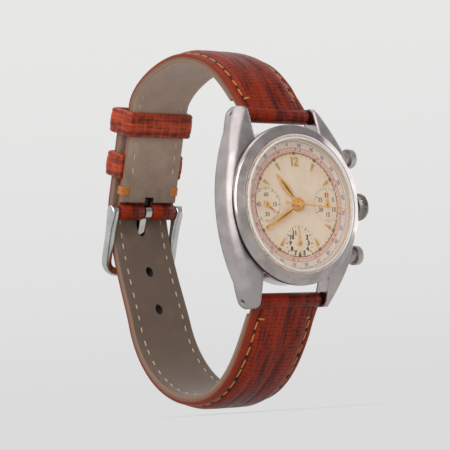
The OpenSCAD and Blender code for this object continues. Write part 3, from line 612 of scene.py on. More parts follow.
@dataclass(frozen=True)
class ScaleLeather:
    """Glazed red-brown leather with a fine cross grain of scales in rows."""

    name: str
    light: Colour = rgb(142, 40, 14)
    dark: Colour = rgb(42, 11, 8)
    edge: Colour = rgb(128, 41, 18)
    side: Colour = rgb(122, 94, 76)
    row_mm: float = 0.95
    scale_mm: float = 0.62
    glaze: float = 0.1
    groove_mm: float = 7.4
    layer: str = "cut"

    # Millimetres from the middle: the two creases, the paler rim and the cut side
    CREASES, RIM, CUT = (0.85, -4.2), (7.9, 8.7), (9.45, 9.62)
    RELIEF = 14 * HAIR

    def build(self) -> Material:
        """Makes the material from the pattern layer in millimetres."""
        graph = Graph(self.name)
        across, along = graph.pattern(self.layer)

        def blotches(wide: float, long: float, detail: float, rough: float = 0.55) -> Signal:
            """Noise with cells per millimetre across and along the strap."""
            return graph.noise(graph.join(across * wide, along * long), 1.0, detail, rough)

        drift = blotches(0.35, 0.12, 3.0)
        rows = (along + drift.sway(1.6)) / self.row_mm
        shift = (rows.floor() * 0.5).fract()
        steps = (across + drift.sway(0.9)) / self.scale_mm + shift
        row_line = abs(rows.fract() - 0.5).span(0.3, 0.5)
        step_line = abs(steps.fract() - 0.5).span(0.34, 0.5)
        joint = row_line.most(step_line * 0.6) * blotches(0.9, 0.7, 2.0).span(0.32, 0.62)
        patch = blotches(0.5, 0.09, 4.0, 0.6)
        streak = blotches(1.1, 0.05, 2.0)
        pores = graph.noise(graph.join(across, along), scale=5.0)
        off = abs(across)
        # Painted shade: the colour darkens along the two creases and the stitch groove of the padded strap
        crease = reduce(Signal.most, [across.pulse(spot, 0.6) for spot in self.CREASES])
        fold = crease * 0.14 + off.pulse(self.groove_mm, 0.55) * 0.6
        depth = joint * 0.52 + fold + (0.56 - patch) * 1.9 + (0.55 - streak) * 1.4 + pores.sway(0.45) + 0.08
        body = graph.blend(depth.span(0.0, 0.9), self.light, self.dark)
        rim = off.span(*self.RIM) * (1.25 - patch * 0.9).least(1.0)
        tone = graph.blend(off.span(*self.CUT), graph.blend(rim, body, self.edge), self.side)
        height = (1 - joint) * 0.75 + pores.sway(0.3)
        graph.surface(Base_Color=tone, Roughness=0.34 + joint * 0.2 + pores.sway(0.2),
                      Specular_IOR_Level=0.12, Coat_Weight=self.glaze, Coat_Roughness=0.34,
                      Normal=graph.bump(height, strength=0.55, distance=self.RELIEF))
        return graph.material


@dataclass(frozen=True)
class Lining:
    """Taupe nubuck lining with a fine nap."""

    name: str = "strap_lining"
    pale: Colour = rgb(172, 148, 130)
    dark: Colour = rgb(96, 76, 62)
    edge: Colour = rgb(130, 100, 80)

    NAP_HEIGHT = 8 * HAIR

    def build(self) -> Material:
        """Makes the material, with painted light that is paler towards the top of the loop, and with a darker
        cut edge.
        """
        graph = Graph(self.name)
        place = graph.place()
        nap = graph.noise(place, scale=5.5, detail=5.0, rough=0.7)
        patch = graph.noise(place, scale=0.25, detail=4.0)
        _, _, rise = graph.split(place)
        # Painted light and shade: paler higher up the loop, darker at its foot
        painted_height_light = rise.span(-10.0, 30.0, -0.25, 0.55)
        tone = graph.blend((nap * 0.6 + patch * 0.6 + painted_height_light - 0.1).span(0.2, 1.2), self.dark, self.pale)
        outward, _, _ = graph.split(graph.node("ShaderNodeNewGeometry").outputs["Normal"])
        tone = graph.blend(abs(outward).span(0.45, 0.75), tone, self.edge)
        graph.surface(Base_Color=tone, Roughness=0.85, Sheen_Weight=0.25, Sheen_Roughness=0.5,
                      Normal=graph.bump(nap, strength=0.5, distance=self.NAP_HEIGHT))
        return graph.material


class Form:
    """A mesh under construction, given in millimetres of the row frame."""

    # Share of a stitch's length and the share of its thickness there
    STITCH_SWELL = ((0.0, 0.25), (0.06, 0.7), (0.18, 1.0), (0.5, 1.08), (0.82, 1.0), (0.94, 0.7), (1.0, 0.25))
    STITCH_SIDES, STITCH_ARCH, STITCH_LEVEL = 8, 0.35, 0.7

    def __init__(self, layer: str = "cut") -> None:
        """Starts an empty mesh with one pattern layer."""
        self.work = bmesh.new()
        self.layer = self.work.loops.layers.uv.new(layer)

    def skin(self, rows: Sequence[Sequence[Vector]], marks: Sequence[Sequence[Flat]] | None = None,
             ring: bool = False, loop: bool = False, caps: bool = False) -> None:
        """Adds a skin over rows of points.

        Args:
            rows: Points row by row.
            marks: Pattern position of each point, or None.
            ring: True joins the last point of each row to its first.
            loop: True joins the last row to the first.
            caps: True closes the first and last row.
        """
        verts = [[self.work.verts.new(point * MM) for point in row] for row in rows]
        spots = {vert: mark for row, places in zip(verts, marks or ()) for vert, mark in zip(row, places)}
        high, wide = len(rows), len(rows[0])
        for i in range(high if loop else high - 1):
            for k in range(wide if ring else wide - 1):
                below, above = verts[i], verts[(i + 1) % high]
                self._face([below[k], below[(k + 1) % wide], above[(k + 1) % wide], above[k]], spots)
        if caps:
            self._face(list(reversed(verts[0])), spots)
            self._face(verts[-1], spots)

    def _face(self, corners: list[bmesh.types.BMVert], spots: dict) -> None:
        """Adds one face with its pattern positions."""
        face = self.work.faces.new(corners)
        for loop in face.loops:
            loop[self.layer].uv = spots.get(loop.vert, (0.0, 0.0))

    def plate(self, outline: Sequence[Flat], low: float, high: float) -> None:
        """Adds a flat plate over the dial.

        Args:
            outline: Corners as (x, towards 12 o'clock).
            low: Height of its underside above the case back.
            high: Height of its face above the case back.
        """
        rows = [[DIAL_UP @ Vector((x, y, height)) for x, y in outline] for height in (low, high)]
        self.skin(rows, ring=True, caps=True)

    def pill(self, start: Vector, end: Vector, up: Vector, width: float, height: float) -> None:
        """Adds a rounded stitch between two points.

        Args:
            start: First end.
            end: Second end.
            up: Direction away from the leather.
            width: Full width.
            height: Full height.
        """
        along = (end - start).normalized()
        side = along.cross(up).normalized()
        rows = []
        for share, swell in self.STITCH_SWELL:
            centre = start.lerp(end, share) + up * (height * self.STITCH_ARCH * (swell - self.STITCH_LEVEL))
            rows.append(hoop(centre, side, up, width / 2 * swell, height / 2 * swell, self.STITCH_SIDES))
        self.skin(rows, ring=True, caps=True)

    def finish(self, name: str, material: Material, smooth: bool = True) -> Piece:
        """Turns the work into an object of the scene.

        Args:
            name: Name of the piece.
            material: Its material.
            smooth: True for soft shading.

        Returns:
            The new object.
        """
        bmesh.ops.recalc_face_normals(self.work, faces=self.work.faces)
        mesh = bpy.data.meshes.new(name)
        self.work.to_mesh(mesh)
        self.work.free()
        mesh.materials.append(material)
        for polygon in mesh.polygons:
            polygon.use_smooth = smooth
        made = bpy.data.objects.new(name, mesh)
        bpy.context.scene.collection.objects.link(made)
        return made


# Angle above which a cut edge stays sharp
CUT_SHARP = math.radians(35)
ROD_SIDES = 32


def carve(target: Piece, cutters: Iterable[Piece]) -> None:
    """Cuts closed meshes out of a piece and removes the cutters.

    Args:
        target: Piece that is cut.
        cutters: Closed meshes.
    """
    for cutter in cutters:
        cut = target.modifiers.new("cut", "BOOLEAN")
        cut.operation = "DIFFERENCE"
        cut.solver = "EXACT"
        cut.material_mode = "TRANSFER"
        cut.object = cutter
        ready = target.evaluated_get(bpy.context.evaluated_depsgraph_get())
        mesh = bpy.data.meshes.new_from_object(ready)
        target.modifiers.clear()
        mesh.set_sharp_from_angle(angle=CUT_SHARP)
        old, target.data = target.data, mesh
        mesh.name = target.name
        bpy.data.meshes.remove(old)
        bpy.data.objects.remove(cutter)


def rod(centre: Vector, axis: Vector, radius: float, length: float, material: Material) -> Piece:
    """A closed round rod, used as a cutter.

    Args:
        centre: Middle of the rod in millimetres.
        axis: Its direction.
        radius: Its radius.
        length: Its length.
        material: Material of the cut wall.

    Returns:
        The rod.
    """
    axis = axis.normalized()
    side = axis.orthogonal().normalized()
    other = axis.cross(side)
    form = Form()
    rows = [hoop(centre + axis * end, side, other, radius, radius, ROD_SIDES)
            for end in (-length / 2, length / 2)]
    form.skin(rows, ring=True, caps=True)
    return form.finish("cutter", material)


def ride(piece: Piece, body: str, replaces: Sequence[str] = ()) -> Piece:
    """Hangs a piece on a body, hides the nodes whose place it takes and reports it.

    Args:
        piece: The visual piece.
        body: Body that carries it.
        replaces: Nodes whose place it takes.

    Returns:
        The same piece.
    """
    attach(piece, body)
    for node in replaces:
        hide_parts(node)
    LOG.info("%s on %s, %d faces", piece.name, body, len(piece.data.polygons))
    return piece


def lerp_table(table: Sequence[Flat], place: float) -> float:
    """Reads a table of (place, value) smoothly.

    Args:
        table: Rows in rising order.
        place: Where it is read.

    Returns:
        The value there.
    """
    for (low, first), (high, last) in zip(table, table[1:]):
        if place <= high:
            share = max(0.0, (place - low) / (high - low))
            return first + (last - first) * share * share * (3 - 2 * share)
    return table[-1][1]


@dataclass(frozen=True)
class Station:
    """One place on the middle of a strap half."""

    point: Vector
    along: Vector
    out: Vector
    length: float
    share: float


# The buckle bar in (Y, Z), the lean of the straight run that rises from it, and the run's two directions
BUCKLE_AT = Vector((48.9, 4.9))
RUN_LEAN = math.radians(18.4)
RUN_DIR = Vector((-math.sin(RUN_LEAN), math.cos(RUN_LEAN)))
RUN_OUT = Vector((math.cos(RUN_LEAN), math.sin(RUN_LEAN)))
# Length of the straight run, how far out the other half lies on it, and how far that half goes
STRAIGHT, OVERLAP, TAIL = 25.7, 3.8, 23.6
# Half the width at the buckle, thickness of the lining and half the width of the tongue's slot
HALF_END, LINING_T, SLOT_HALF = 8.0, 0.9, 1.25


def on_run(along: float, out: float = 0.0) -> Flat:
    """Point of the straight run in (Y, Z), measured from the buckle bar."""
    return tuple(BUCKLE_AT + RUN_DIR * along + RUN_OUT * out)


@dataclass(frozen=True)
class StrapPath:
    """Chain of cubic curves in the (Y, Z) plane that a strap half follows."""

    curves: tuple[tuple[Flat, Flat, Flat, Flat], ...]
    turn: int

    def point(self, curve: int, share: float) -> Vector:
        """Point of one curve.

        Args:
            curve: Number of the curve.
            share: Place on it between 0 and 1.

        Returns:
            The point in (Y, Z).
        """
        a, b, c, d = (Vector(corner) for corner in self.curves[curve])
        rest = 1 - share
        return a * rest ** 3 + b * (3 * rest * rest * share) + c * (3 * rest * share * share) + d * share ** 3

    def stations(self, steps: int) -> list[Station]:
        """Samples the whole path.

        Args:
            steps: Samples on each curve.

        Returns:
            The stations from the lug to the far end.
        """
        flat = [self.point(i, k / steps) for i, k in product(range(len(self.curves)), range(steps + 1))
                if i == 0 or k]
        total, length, made = len(flat) - 1, 0.0, []
        for i, here in enumerate(flat):
            ahead = (flat[min(i + 1, total)] - flat[max(i - 1, 0)]).normalized()
            out = Vector((ahead.y, -ahead.x)) * self.turn
            length += (here - flat[i - 1]).length if i else 0.0
            point, along, facing = (Vector((0, *pair)) for pair in (here, ahead, out))
            made.append(Station(point, along, facing, length, i / total))
        return made


# Control points of the curves, from the lug to the far end
BUCKLE_PATH = StrapPath((
    ((-2, 20.6), (5.7, 31), (7.9, 33.6), (17, 36.2)),
    ((17, 36.2), (25.7, 38.7), on_run(STRAIGHT + 4.9), on_run(STRAIGHT)),
    tuple(on_run(STRAIGHT * k) for k in (1, 0.67, 0.33, 0))), -1)
HOLE_PATH = StrapPath((
    ((-2, -20.6), (3, -26), (7.4, -40.3), (21.4, -40.9)),
    ((21.4, -40.9), (32.8, -41.4), (43, -34.3), (45.8, -22.2)),
    ((45.8, -22.2), (47.1, -16.7), on_run(-6, OVERLAP), on_run(3, OVERLAP)),
    tuple(on_run(3 + (TAIL - 3) * k, OVERLAP) for k in (0, 0.33, 0.67, 1))), 1)


@dataclass
class StrapHalf:
    """One strap half: padded leather, lining, stitches and needle holes drawn as painted shade."""

    name: str
    path: StrapPath
    lining_stop: float
    stitch_stop: float
    leather: Material
    lining: Material
    thread: Material
    pale_thread: Material
    dark: Material
    end_roll: float = 0.0
    stations: list[Station] = field(default_factory=list)

    STEPS, COLUMNS = 40, 64
    WIDE, THICK, THIN = 18.4, 3.0, 1.5
    # Shares of the length: where the taper starts, how far it goes, where the padding is full and ends
    TAPER_FROM, TAPER_OVER, PAD_FULL, PAD_END = 0.2, 0.55, 0.08, 0.8
    # Power by which the padding falls, and its height in millimetres where the ridges are full
    PAD_FALL, PAD_RISE = 0.8, 0.9
    # Shares of the half width, and of the thickness for the depth
    CREASES, CREASE_HALF, CREASE_DEPTH = (-0.46, 0.09), 0.09, 0.07
    # Share of the half width to share of the thickness, for the padded and the thin stretch
    PROFILE = ((0.0, 0.98), (0.3, 0.98), (0.55, 0.96), (0.68, 0.86), (0.75, 0.68), (0.805, 0.56), (0.86, 0.6),
               (0.94, 0.58), (0.975, 0.52), (1.0, 0.37))
    THIN_PROFILE = ((0.0, 0.93), (0.75, 0.9), (0.835, 0.84), (0.88, 0.88), (0.95, 0.84), (1.0, 0.55))
    # Place on the underside as a share of the half width, and the share of the width that its pattern spans
    UNDERSIDE, UNDERSIDE_SPAN = (1, 0.5, 0, -0.5, -1), 0.55
    # Share of a roll's half length and the share of its radius there
    ROLL = ((-1, 0.72), (-0.985, 0.9), (-0.95, 1), (0.95, 1), (0.985, 0.9), (1, 0.72))
    ROLL_SIDES, ROLL_SPAN, LUG_ROLL = 40, 0.85, 1.72
    # Distance in from the edge and under the leather, then shares of the half width, then the last place
    LINING_EDGE = ((0.0, 0.0), (0.0, 0.6), (0.12, 0.82), (0.45, LINING_T), (1.7, LINING_T),
                   (2.1, LINING_T - 0.07), (2.5, LINING_T))
    LINING_FLAT, LINING_MIDDLE = (0.5, 0.3, 0.15), 0.4
    # Width and height of each kind of stitch and of the needle holes
    THREAD, HOLE, INNER, TACK, TURN = (0.44, 0.4), (0.66, 0.2), (0.4, 0.24), (0.42, 0.34), (0.42, 0.36)
    # Places and lengths of the stitches in millimetres, and the share by which the inner ones are shorter
    STITCH_IN, PITCH, STITCH, FIRST, LIFT, SLANT = 1.75, 3.1, 2.35, 4.2, 0.03, 0.12
    HOLE_HALF, HOLE_SUNK = 0.34, 0.06
    INNER_IN, INNER_SUNK, INNER_FIRST, INNER_SHORTER = 2.1, 0.02, 6, 0.45
    TACKS, TACK_AT, TACK_PITCH, TACK_LENGTH, TACK_OFF, TACK_LIFT = 5, 4.2, 0.4, 2.1, 0.16, 0.02
    TURN_AT, TURN_LENGTH = 4.0, 1.5

    def __post_init__(self) -> None:
        """Samples the path."""
        self.stations = self.path.stations(self.STEPS)

    def half_width(self, share: float) -> float:
        """Half the strap width at a share of the length."""
        taper = min(1, max(0, share - self.TAPER_FROM) / self.TAPER_OVER)
        return (self.WIDE + (2 * HALF_END - self.WIDE) * taper) / 2

    def thickness(self, share: float) -> float:
        """Leather thickness at a share of the length."""
        padding = min(1, share / self.PAD_FULL) * max(0, 1 - share / self.PAD_END) ** self.PAD_FALL
        return self.THIN + (self.THICK - self.THIN) * padding

    def top(self, station: Station, across: float) -> Vector:
        """Point of the leather surface.

        Args:
            station: Where along the strap.
            across: Distance from the middle in millimetres.

        Returns:
            The point.
        """
        half, thick = self.half_width(station.share), self.thickness(station.share)
        padded = min(1.0, max(0.0, (thick - self.THIN) / self.PAD_RISE))
        share = min(1.0, abs(across) / half)
        crease = sum(max(0.0, 1 - abs(across / half - spot) / self.CREASE_HALF) for spot in self.CREASES)
        ridged = lerp_table(self.PROFILE, share) - self.CREASE_DEPTH * crease
        plain = lerp_table(self.THIN_PROFILE, share)
        rise = (ridged * padded + plain * (1 - padded)) * thick
        return station.point + X_AXIS * across + station.out * rise

    def at(self, length: float) -> Station:
        """Station nearest to a distance along the strap."""
        return min(self.stations, key=lambda station: abs(station.length - length))

    def band(self) -> Form:
        """Builds the leather band with its crown, ridges and rounded edges."""
        form, rows, marks = Form(), [], []
        for station in self.stations:
            half = self.half_width(station.share)
            shares = [2 * k / self.COLUMNS - 1 for k in range(self.COLUMNS + 1)]
            line = [math.sin(math.pi / 2 * share) * half for share in shares]
            row = [self.top(station, x) for x in line]
            mark = [(x / half * self.WIDE / 2, station.length) for x in line]
            for part in self.UNDERSIDE:
                row.append(station.point + X_AXIS * (half * part))
                mark.append((part * self.WIDE * self.UNDERSIDE_SPAN, station.length))
            rows.append(row)
            marks.append(mark)
        form.skin(rows, marks, ring=True, caps=True)
        return form

    def roll(self, form: Form, centre: Vector, radius: float, half: float) -> None:
        """Adds leather rolled around a bar across the strap.

        Args:
            form: Mesh that takes it.
            centre: Middle of the bar.
            radius: Outer radius.
            half: Half its length.
        """
        rows, marks = [], []
        for share, swell in self.ROLL:
            middle = centre + X_AXIS * (half * share)
            rows.append(hoop(middle, Y_AXIS, Z_AXIS, radius * swell, radius * swell, self.ROLL_SIDES))
            marks.append([(half * share * self.ROLL_SPAN, radius * turn) for turn in angles(self.ROLL_SIDES)])
        form.skin(rows, marks, ring=True, caps=True)

    def build(self, cutters: Sequence[Callable[[], Piece]]) -> None:
        """Builds the leather, its lining and its stitching.

        Args:
            cutters: Makers of the closed meshes that are cut out.
        """
        leather = self.band().finish(f"{self.name}_leather", self.leather)
        carve(leather, (make() for make in cutters))
        rolls = Form()
        self.roll(rolls, self.stations[0].point, self.LUG_ROLL, self.WIDE / 2)
        if self.end_roll:
            for side in (-1, 1):
                middle = X_AXIS * ((HALF_END + SLOT_HALF) / 2 * side)
                self.roll(rolls, self.stations[-1].point + middle, self.end_roll, (HALF_END - SLOT_HALF) / 2)
        folds = rolls.finish(f"{self.name}_folds", self.leather)
        ride(leather, "case", (self.name,))
        ride(folds, "case")
        self._line(cutters)
        self._stitch()

    def _line(self, cutters: Sequence[Callable[[], Piece]]) -> None:
        """Builds the lining with soft edges."""
        form, rows, marks = Form(), [], []
        stop = self.stations[-1].length - self.lining_stop
        for station in self.stations[self.STEPS // 6:]:
            if station.length > stop:
                break
            half = self.half_width(station.share)
            row = [(half - inset, drop) for inset, drop in self.LINING_EDGE]
            row += [(half * part, LINING_T) for part in self.LINING_FLAT]
            row.append((self.LINING_MIDDLE, LINING_T))
            row += [(-x, drop) for x, drop in reversed(row)]
            rows.append([station.point + X_AXIS * x - station.out * drop for x, drop in row])
            marks.append([(x, station.length) for x, _ in row])
        form.skin(rows, marks, ring=True, caps=True)
        lining = form.finish(f"{self.name}_lining_band", self.lining)
        carve(lining, (make() for make in cutters))
        ride(lining, "case", (f"{self.name}_lining",))

    def _stitch(self) -> None:
        """Sews both edges, the turn at the lug and the lining side."""
        thread, holes, inner = Form(), Form(), Form()
        self._sew_edges(thread, holes, inner)
        if self.end_roll:
            self._tack_fold(thread)
        start = self.at(self.TURN_AT)
        edge = self.half_width(start.share) - self.STITCH_IN
        for side in (-1, 1):
            ends = [self.top(start, side * spot) + start.out * self.LIFT
                    for spot in (edge, edge - self.TURN_LENGTH)]
            thread.pill(*ends, start.out, *self.TURN)
        ride(thread.finish(f"{self.name}_thread", self.thread), "case")
        ride(holes.finish(f"{self.name}_needle_holes", self.dark), "case")
        ride(inner.finish(f"{self.name}_lining_thread", self.pale_thread), "case")

    def _sew_edges(self, thread: Form, holes: Form, inner: Form) -> None:
        """Sews along both edges.

        Args:
            thread: Takes the stitches on the leather.
            holes: Takes the painted shade of the needle holes.
            inner: Takes the stitches on the lining.
        """
        whole, length = self.stations[-1].length, self.FIRST
        inner_stop = whole - self.lining_stop - self.STITCH - 1
        while length + self.STITCH < whole - self.stitch_stop:
            near, far = self.at(length), self.at(length + self.STITCH)
            for side in (-1, 1):
                ends = []
                for station, slant in ((near, self.SLANT), (far, -self.SLANT)):
                    across = side * (self.half_width(station.share) - self.STITCH_IN) + slant
                    ends.append(self.top(station, across) + station.out * self.LIFT)
                    # Each needle hole is a dark sunken pill of painted shade
                    hole, reach = ends[-1] - station.out * self.HOLE_SUNK, station.along * self.HOLE_HALF
                    holes.pill(hole - reach, hole + reach, station.out, *self.HOLE)
                thread.pill(*ends, near.out, *self.THREAD)
                if self.INNER_FIRST < length < inner_stop:
                    start, end = (self._under(station, side) for station in (near, far))
                    inner.pill(start, end.lerp(start, self.INNER_SHORTER), -near.out, *self.INNER)
            length += self.PITCH

    def _under(self, station: Station, side: int) -> Vector:
        """Place of a stitch on the lining."""
        across = side * (self.half_width(station.share) - self.INNER_IN)
        return station.point + X_AXIS * across - station.out * (LINING_T - self.INNER_SUNK)

    def _tack_fold(self, thread: Form) -> None:
        """Sews the tacks that hold the fold round the buckle bar."""
        place = self.at(self.stations[-1].length - self.TACK_AT)
        for side, count in product((-1, 1), range(self.TACKS)):
            base = place.point - place.along * (self.TACK_PITCH * count) + X_AXIS * (side * HALF_END)
            corner = base + X_AXIS * (side * self.TACK_OFF) - place.out * (LINING_T + self.TACK_LIFT)
            thread.pill(corner, corner - X_AXIS * (side * self.TACK_LENGTH), -place.out, *self.TACK)
            thread.pill(corner, corner + place.out * self.TACK_LENGTH, X_AXIS * side, *self.TACK)


@dataclass
class Keeper:
    """A leather loop around both layers of the strap."""

    name: str
    body: str
    along: float
    leather: Material
    sewn: bool = False

    # Half width, lower and upper side of the opening, wall, length along the strap and trim at both ends
    HALF, LOW, HIGH, WALL, HEIGHT, TRIM = 8.35, -1.25, 5.65, 1.1, 6.0, 0.04
    CORNER, CORNER_STEPS, SPACING, SEWN_GAP = 0.35, 8, 1.0, 0.02
    # Signs of x and y and the first angle of each corner, those of a sewn bow first
    CORNERS = ((1, 1, 0), (-1, 1, 90), (-1, -1, 180), (1, -1, 270))
    # Share of the height and share of the wall thickness, round the section
    SECTION = ((0.0, 0.0), (0.0, 0.45), (0.03, 0.8), (0.09, 0.98), (0.14, 0.99), (0.18, 0.9), (0.22, 0.99),
               (0.35, 1.08), (0.5, 1.12), (0.65, 1.08), (0.78, 0.99), (0.82, 0.9), (0.86, 0.99), (0.91, 0.98),
               (0.97, 0.8), (1.0, 0.45), (1.0, 0.0))

    def rough_outline(self) -> list[tuple[Vector, Vector]]:
        """Points round the corners, or over a sewn bow from end to end, with their outward direction."""
        made = []
        half = HALF_END + self.SEWN_GAP if self.sewn else self.HALF
        for x, y, start in self.CORNERS[:2] if self.sewn else self.CORNERS:
            centre = Vector((x * (half - self.CORNER), (self.HIGH if y > 0 else self.LOW) - y * self.CORNER))
            for k in range(self.CORNER_STEPS + 1):
                turn = math.radians(start + 90 * k / self.CORNER_STEPS)
                facing = Vector((math.cos(turn), math.sin(turn)))
                made.append((centre + facing * self.CORNER, facing))
        if self.sewn:
            first, last = ((Vector((half * side, 0.0)), Vector((side, 0.0))) for side in (1.0, -1.0))
            made = [first, *made, last]
        return made

    def outline(self) -> list[tuple[Vector, Vector, float]]:
        """Evenly spaced points of the outline, with their outward direction and running length."""
        made, length = self.rough_outline(), 0.0
        fine: list[tuple[Vector, Vector, float]] = []
        for (here, facing), (ahead, _) in zip(made, made[1:] if self.sewn else made[1:] + made[:1]):
            gap = (ahead - here).length
            parts = max(1, round(gap / self.SPACING))
            for k in range(parts):
                fine.append((here.lerp(ahead, k / parts), facing, length))
                length += gap / parts
        return fine + [(*made[-1], length)] if self.sewn else fine

    def build(self) -> None:
        """Builds the loop and hangs it on its body."""
        out, up = Vector((0, *RUN_OUT)), Vector((0, *RUN_DIR))
        base = Vector((0, *BUCKLE_AT)) + up * self.along
        rows, marks, tall = [], [], self.HEIGHT - 2 * self.TRIM
        for place, facing, length in self.outline():
            point = base + X_AXIS * place.x + out * place.y
            normal = X_AXIS * facing.x + out * facing.y
            rows.append([point + normal * (self.WALL * thick) + up * (self.TRIM + tall * high)
                         for high, thick in self.SECTION])
            marks.append([(self.HEIGHT * high, length) for high, _ in self.SECTION])
        form = Form()
        form.skin(rows, marks, ring=True, loop=not self.sewn, caps=self.sewn)
        ride(form.finish(f"{self.name}_loop", self.leather), self.body, (self.name,))


@dataclass
class CrystalDome:
    """Domed crystal above the bezel, clear of the metal around it."""

    radius: float = 14.96
    under: float = 9.18
    shoulder: float = 9.35
    rise: float = 2.3

    SIDES, ARCS, SHARP = 96, 24, math.radians(20)
    CHAMFER, INSET = 0.06, 0.2
    # Shares of the radius on the flat underside, from the closed middle outwards
    UNDER_SHARES = (0.002, 0.1, 0.4, 0.7, 0.9, 1.0)
    # Distance out from the radius and up from the shoulder, round the section of the pale ring painted as the
    # crystal edge's highlight
    EDGE = ((-0.5, 0.1), (-0.02, -0.03), (-0.02, 0.06), (-0.1, 0.15), (-0.45, 0.24), (-0.55, 0.2))

    def profile(self) -> list[Flat]:
        """Radius and height of the section, from the flat underside round the rim to the top of the dome."""
        sphere = (self.radius ** 2 + self.rise ** 2) / (2 * self.rise)
        middle = self.shoulder + self.rise - sphere
        made = [(share * self.radius, self.under) for share in self.UNDER_SHARES]
        made += [(self.radius, self.shoulder - self.CHAMFER), (self.radius - self.CHAMFER, self.shoulder)]
        edge = math.asin((self.radius - self.INSET) / sphere)
        for k in range(self.ARCS, 0, -1):
            turn = edge * k / self.ARCS
            made.append((sphere * math.sin(turn), middle + sphere * math.cos(turn)))
        return made + [(self.UNDER_SHARES[0] * self.radius, middle + sphere)]

    def rows(self, profile: Sequence[Flat]) -> list[list[Vector]]:
        """Turns a section of radius and height about the dial's axis."""
        return [hoop(Y_AXIS * -height, X_AXIS, Z_AXIS, radius, radius, self.SIDES)
                for radius, height in profile]

    def build(self, clear: Material, edge: Material) -> None:
        """Builds the crystal in place of its node, with a pale ring at its foot as a painted highlight of its
        edge.

        Args:
            clear: Its material.
            edge: Material of the pale ring painted as the edge's highlight.
        """
        form = Form()
        form.skin(self.rows(self.profile()), ring=True, caps=True)
        dome = form.finish("crystal_dome", clear)
        dome.data.set_sharp_from_angle(angle=self.SHARP)
        ride(dome, "case", ("crystal",))
        edge_highlight = Form()
        section = [(self.radius + out, self.shoulder + up) for out, up in self.EDGE]
        edge_highlight.skin(self.rows(section), ring=True, loop=True)
        ride(edge_highlight.finish("crystal_edge_highlight", edge), "case")


@dataclass
class PusherSpring:
    """Coil inside a pusher, as long as its node."""

    node: str
    joint: str
    metal: Material

    # Number of turns, radius of the wire and stroke of the pusher
    TURNS, WIRE, STROKE = 5, 0.15, 0.8
    TURN_STEPS, WIRE_SIDES = 24, 8

    def build(self) -> None:
        """Builds the coil in place of its node."""
        low, high = (Vector(corner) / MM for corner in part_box(self.node))
        middle, length = (low + high) / 2, high.x - low.x
        reach, steps = (high.z - low.z) / 2 - self.WIRE, self.TURNS * self.TURN_STEPS
        rows = []
        for k in range(steps + 1):
            turn = math.tau * k / self.TURN_STEPS
            facing = Vector((0, math.cos(turn), math.sin(turn)))
            along = low.x + self.WIRE + (length - 2 * self.WIRE) * k / steps
            centre = Vector((along, middle.y, middle.z)) + facing * reach
            rows.append(hoop(centre, facing, X_AXIS, self.WIRE, self.WIRE, self.WIRE_SIDES))
        form = Form()
        form.skin(rows, ring=True, caps=True)
        coil = form.finish(f"{self.node}_coil", self.metal)
        ride(coil, "case", (self.node,))
        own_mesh(coil)


@dataclass
class BuckleFrame:
    """Polished frame: two arms with rounded heads on the bar, joined by a cross-piece."""

    angle: float = -70.6
    arm: float = 9.5
    length: float = 14.7
    corner: float = 3.0
    half_width: float = 1.1
    half_thick: float = 0.98
    head: float = 1.6

    HEAD_STEPS, ARM_STEPS, CORNER_STEPS, CROSS_STEPS, CROSS_PITCH = 6, 12, 8, 4, 1.6
    HEAD_TIP, HEAD_FALL = 0.2, 2.6
    # Powers that square the section across and up
    SIDES, SQUARE_ACROSS, SQUARE_UP = 20, 0.55, 0.7

    def spine(self) -> list[tuple[Flat, Flat, float]]:
        """Points of one half of the frame with their sideways direction and half thickness."""
        made, straight = [], self.length - self.corner
        for k in range(self.HEAD_STEPS + 1):
            turn = math.pi / 2 * k / self.HEAD_STEPS
            place = -self.head * math.cos(turn)
            made.append(((self.arm, place), (1.0, 0.0), max(self.HEAD_TIP, self.head * math.sin(turn))))
        for k in range(1, self.ARM_STEPS + 1):
            place = straight * k / self.ARM_STEPS
            swell = (self.head - self.half_thick) * math.exp(-((place / self.HEAD_FALL) ** 2))
            made.append(((self.arm, place), (1.0, 0.0), self.half_thick + swell))
        for k in range(1, self.CORNER_STEPS + 1):
            turn = math.pi / 2 * k / self.CORNER_STEPS
            across, along = math.cos(turn), math.sin(turn)
            spot = (self.arm - self.corner * (1 - across), straight + self.corner * along)
            made.append((spot, (across, along), self.half_thick))
        for k in range(1, self.CROSS_STEPS + 1):
            spot = (self.arm - self.corner - self.CROSS_PITCH * k, self.length)
            made.append((spot, (0.0, 1.0), self.half_thick))
        return made

    def build(self, metal: Material) -> None:
        """Builds the frame in place of its node.

        Args:
            metal: Its material.
        """
        turn = Matrix.Rotation(math.radians(self.angle), 3, "X")
        base = Vector((0, *BUCKLE_AT))
        half = self.spine()
        whole = half + [((-x, y), (-a, b), thick) for (x, y), (a, b), thick in reversed(half)]
        rows = []
        for (x, y), (a, b), thick in whole:
            row = []
            for swing in angles(self.SIDES):
                wide, tall = math.cos(swing), math.sin(swing)
                across = math.copysign(abs(wide) ** self.SQUARE_ACROSS, wide) * self.half_width
                up = math.copysign(abs(tall) ** self.SQUARE_UP, tall) * thick
                row.append(base + turn @ Vector((x + a * across, y + b * across, up)))
            rows.append(row)
        form = Form()
        form.skin(rows, ring=True, caps=True)
        ride(form.finish("buckle_frame_bow", metal), "buckle", ("buckle_frame",))


def on_dial(radius: float, hour_degrees: float) -> Flat:
    """Plan point at an angle clockwise from 12 o'clock."""
    turn = math.radians(hour_degrees)
    return radius * math.sin(turn), radius * math.cos(turn)


class Ink(Enum):
    """Colours printed on the dial."""

    BLUE_GREY = rgb(158, 152, 166)
    RED = rgb(220, 126, 116)
    BLUSH = rgb(236, 202, 182)
    BROWN = rgb(154, 110, 72)
    DARK = rgb(48, 42, 36)
    GREY = rgb(122, 108, 86)
    BAND = rgb(240, 222, 206)


@dataclass(frozen=True)
class Register:
    """One sub-dial: its middle, ink, numbers by angle, and ticks."""

    centre: Flat
    ink: Ink
    numbers: dict[float, str]
    size: float
    number_radius: float
    ticks: int
    long_every: int
    bold: float = 0.03


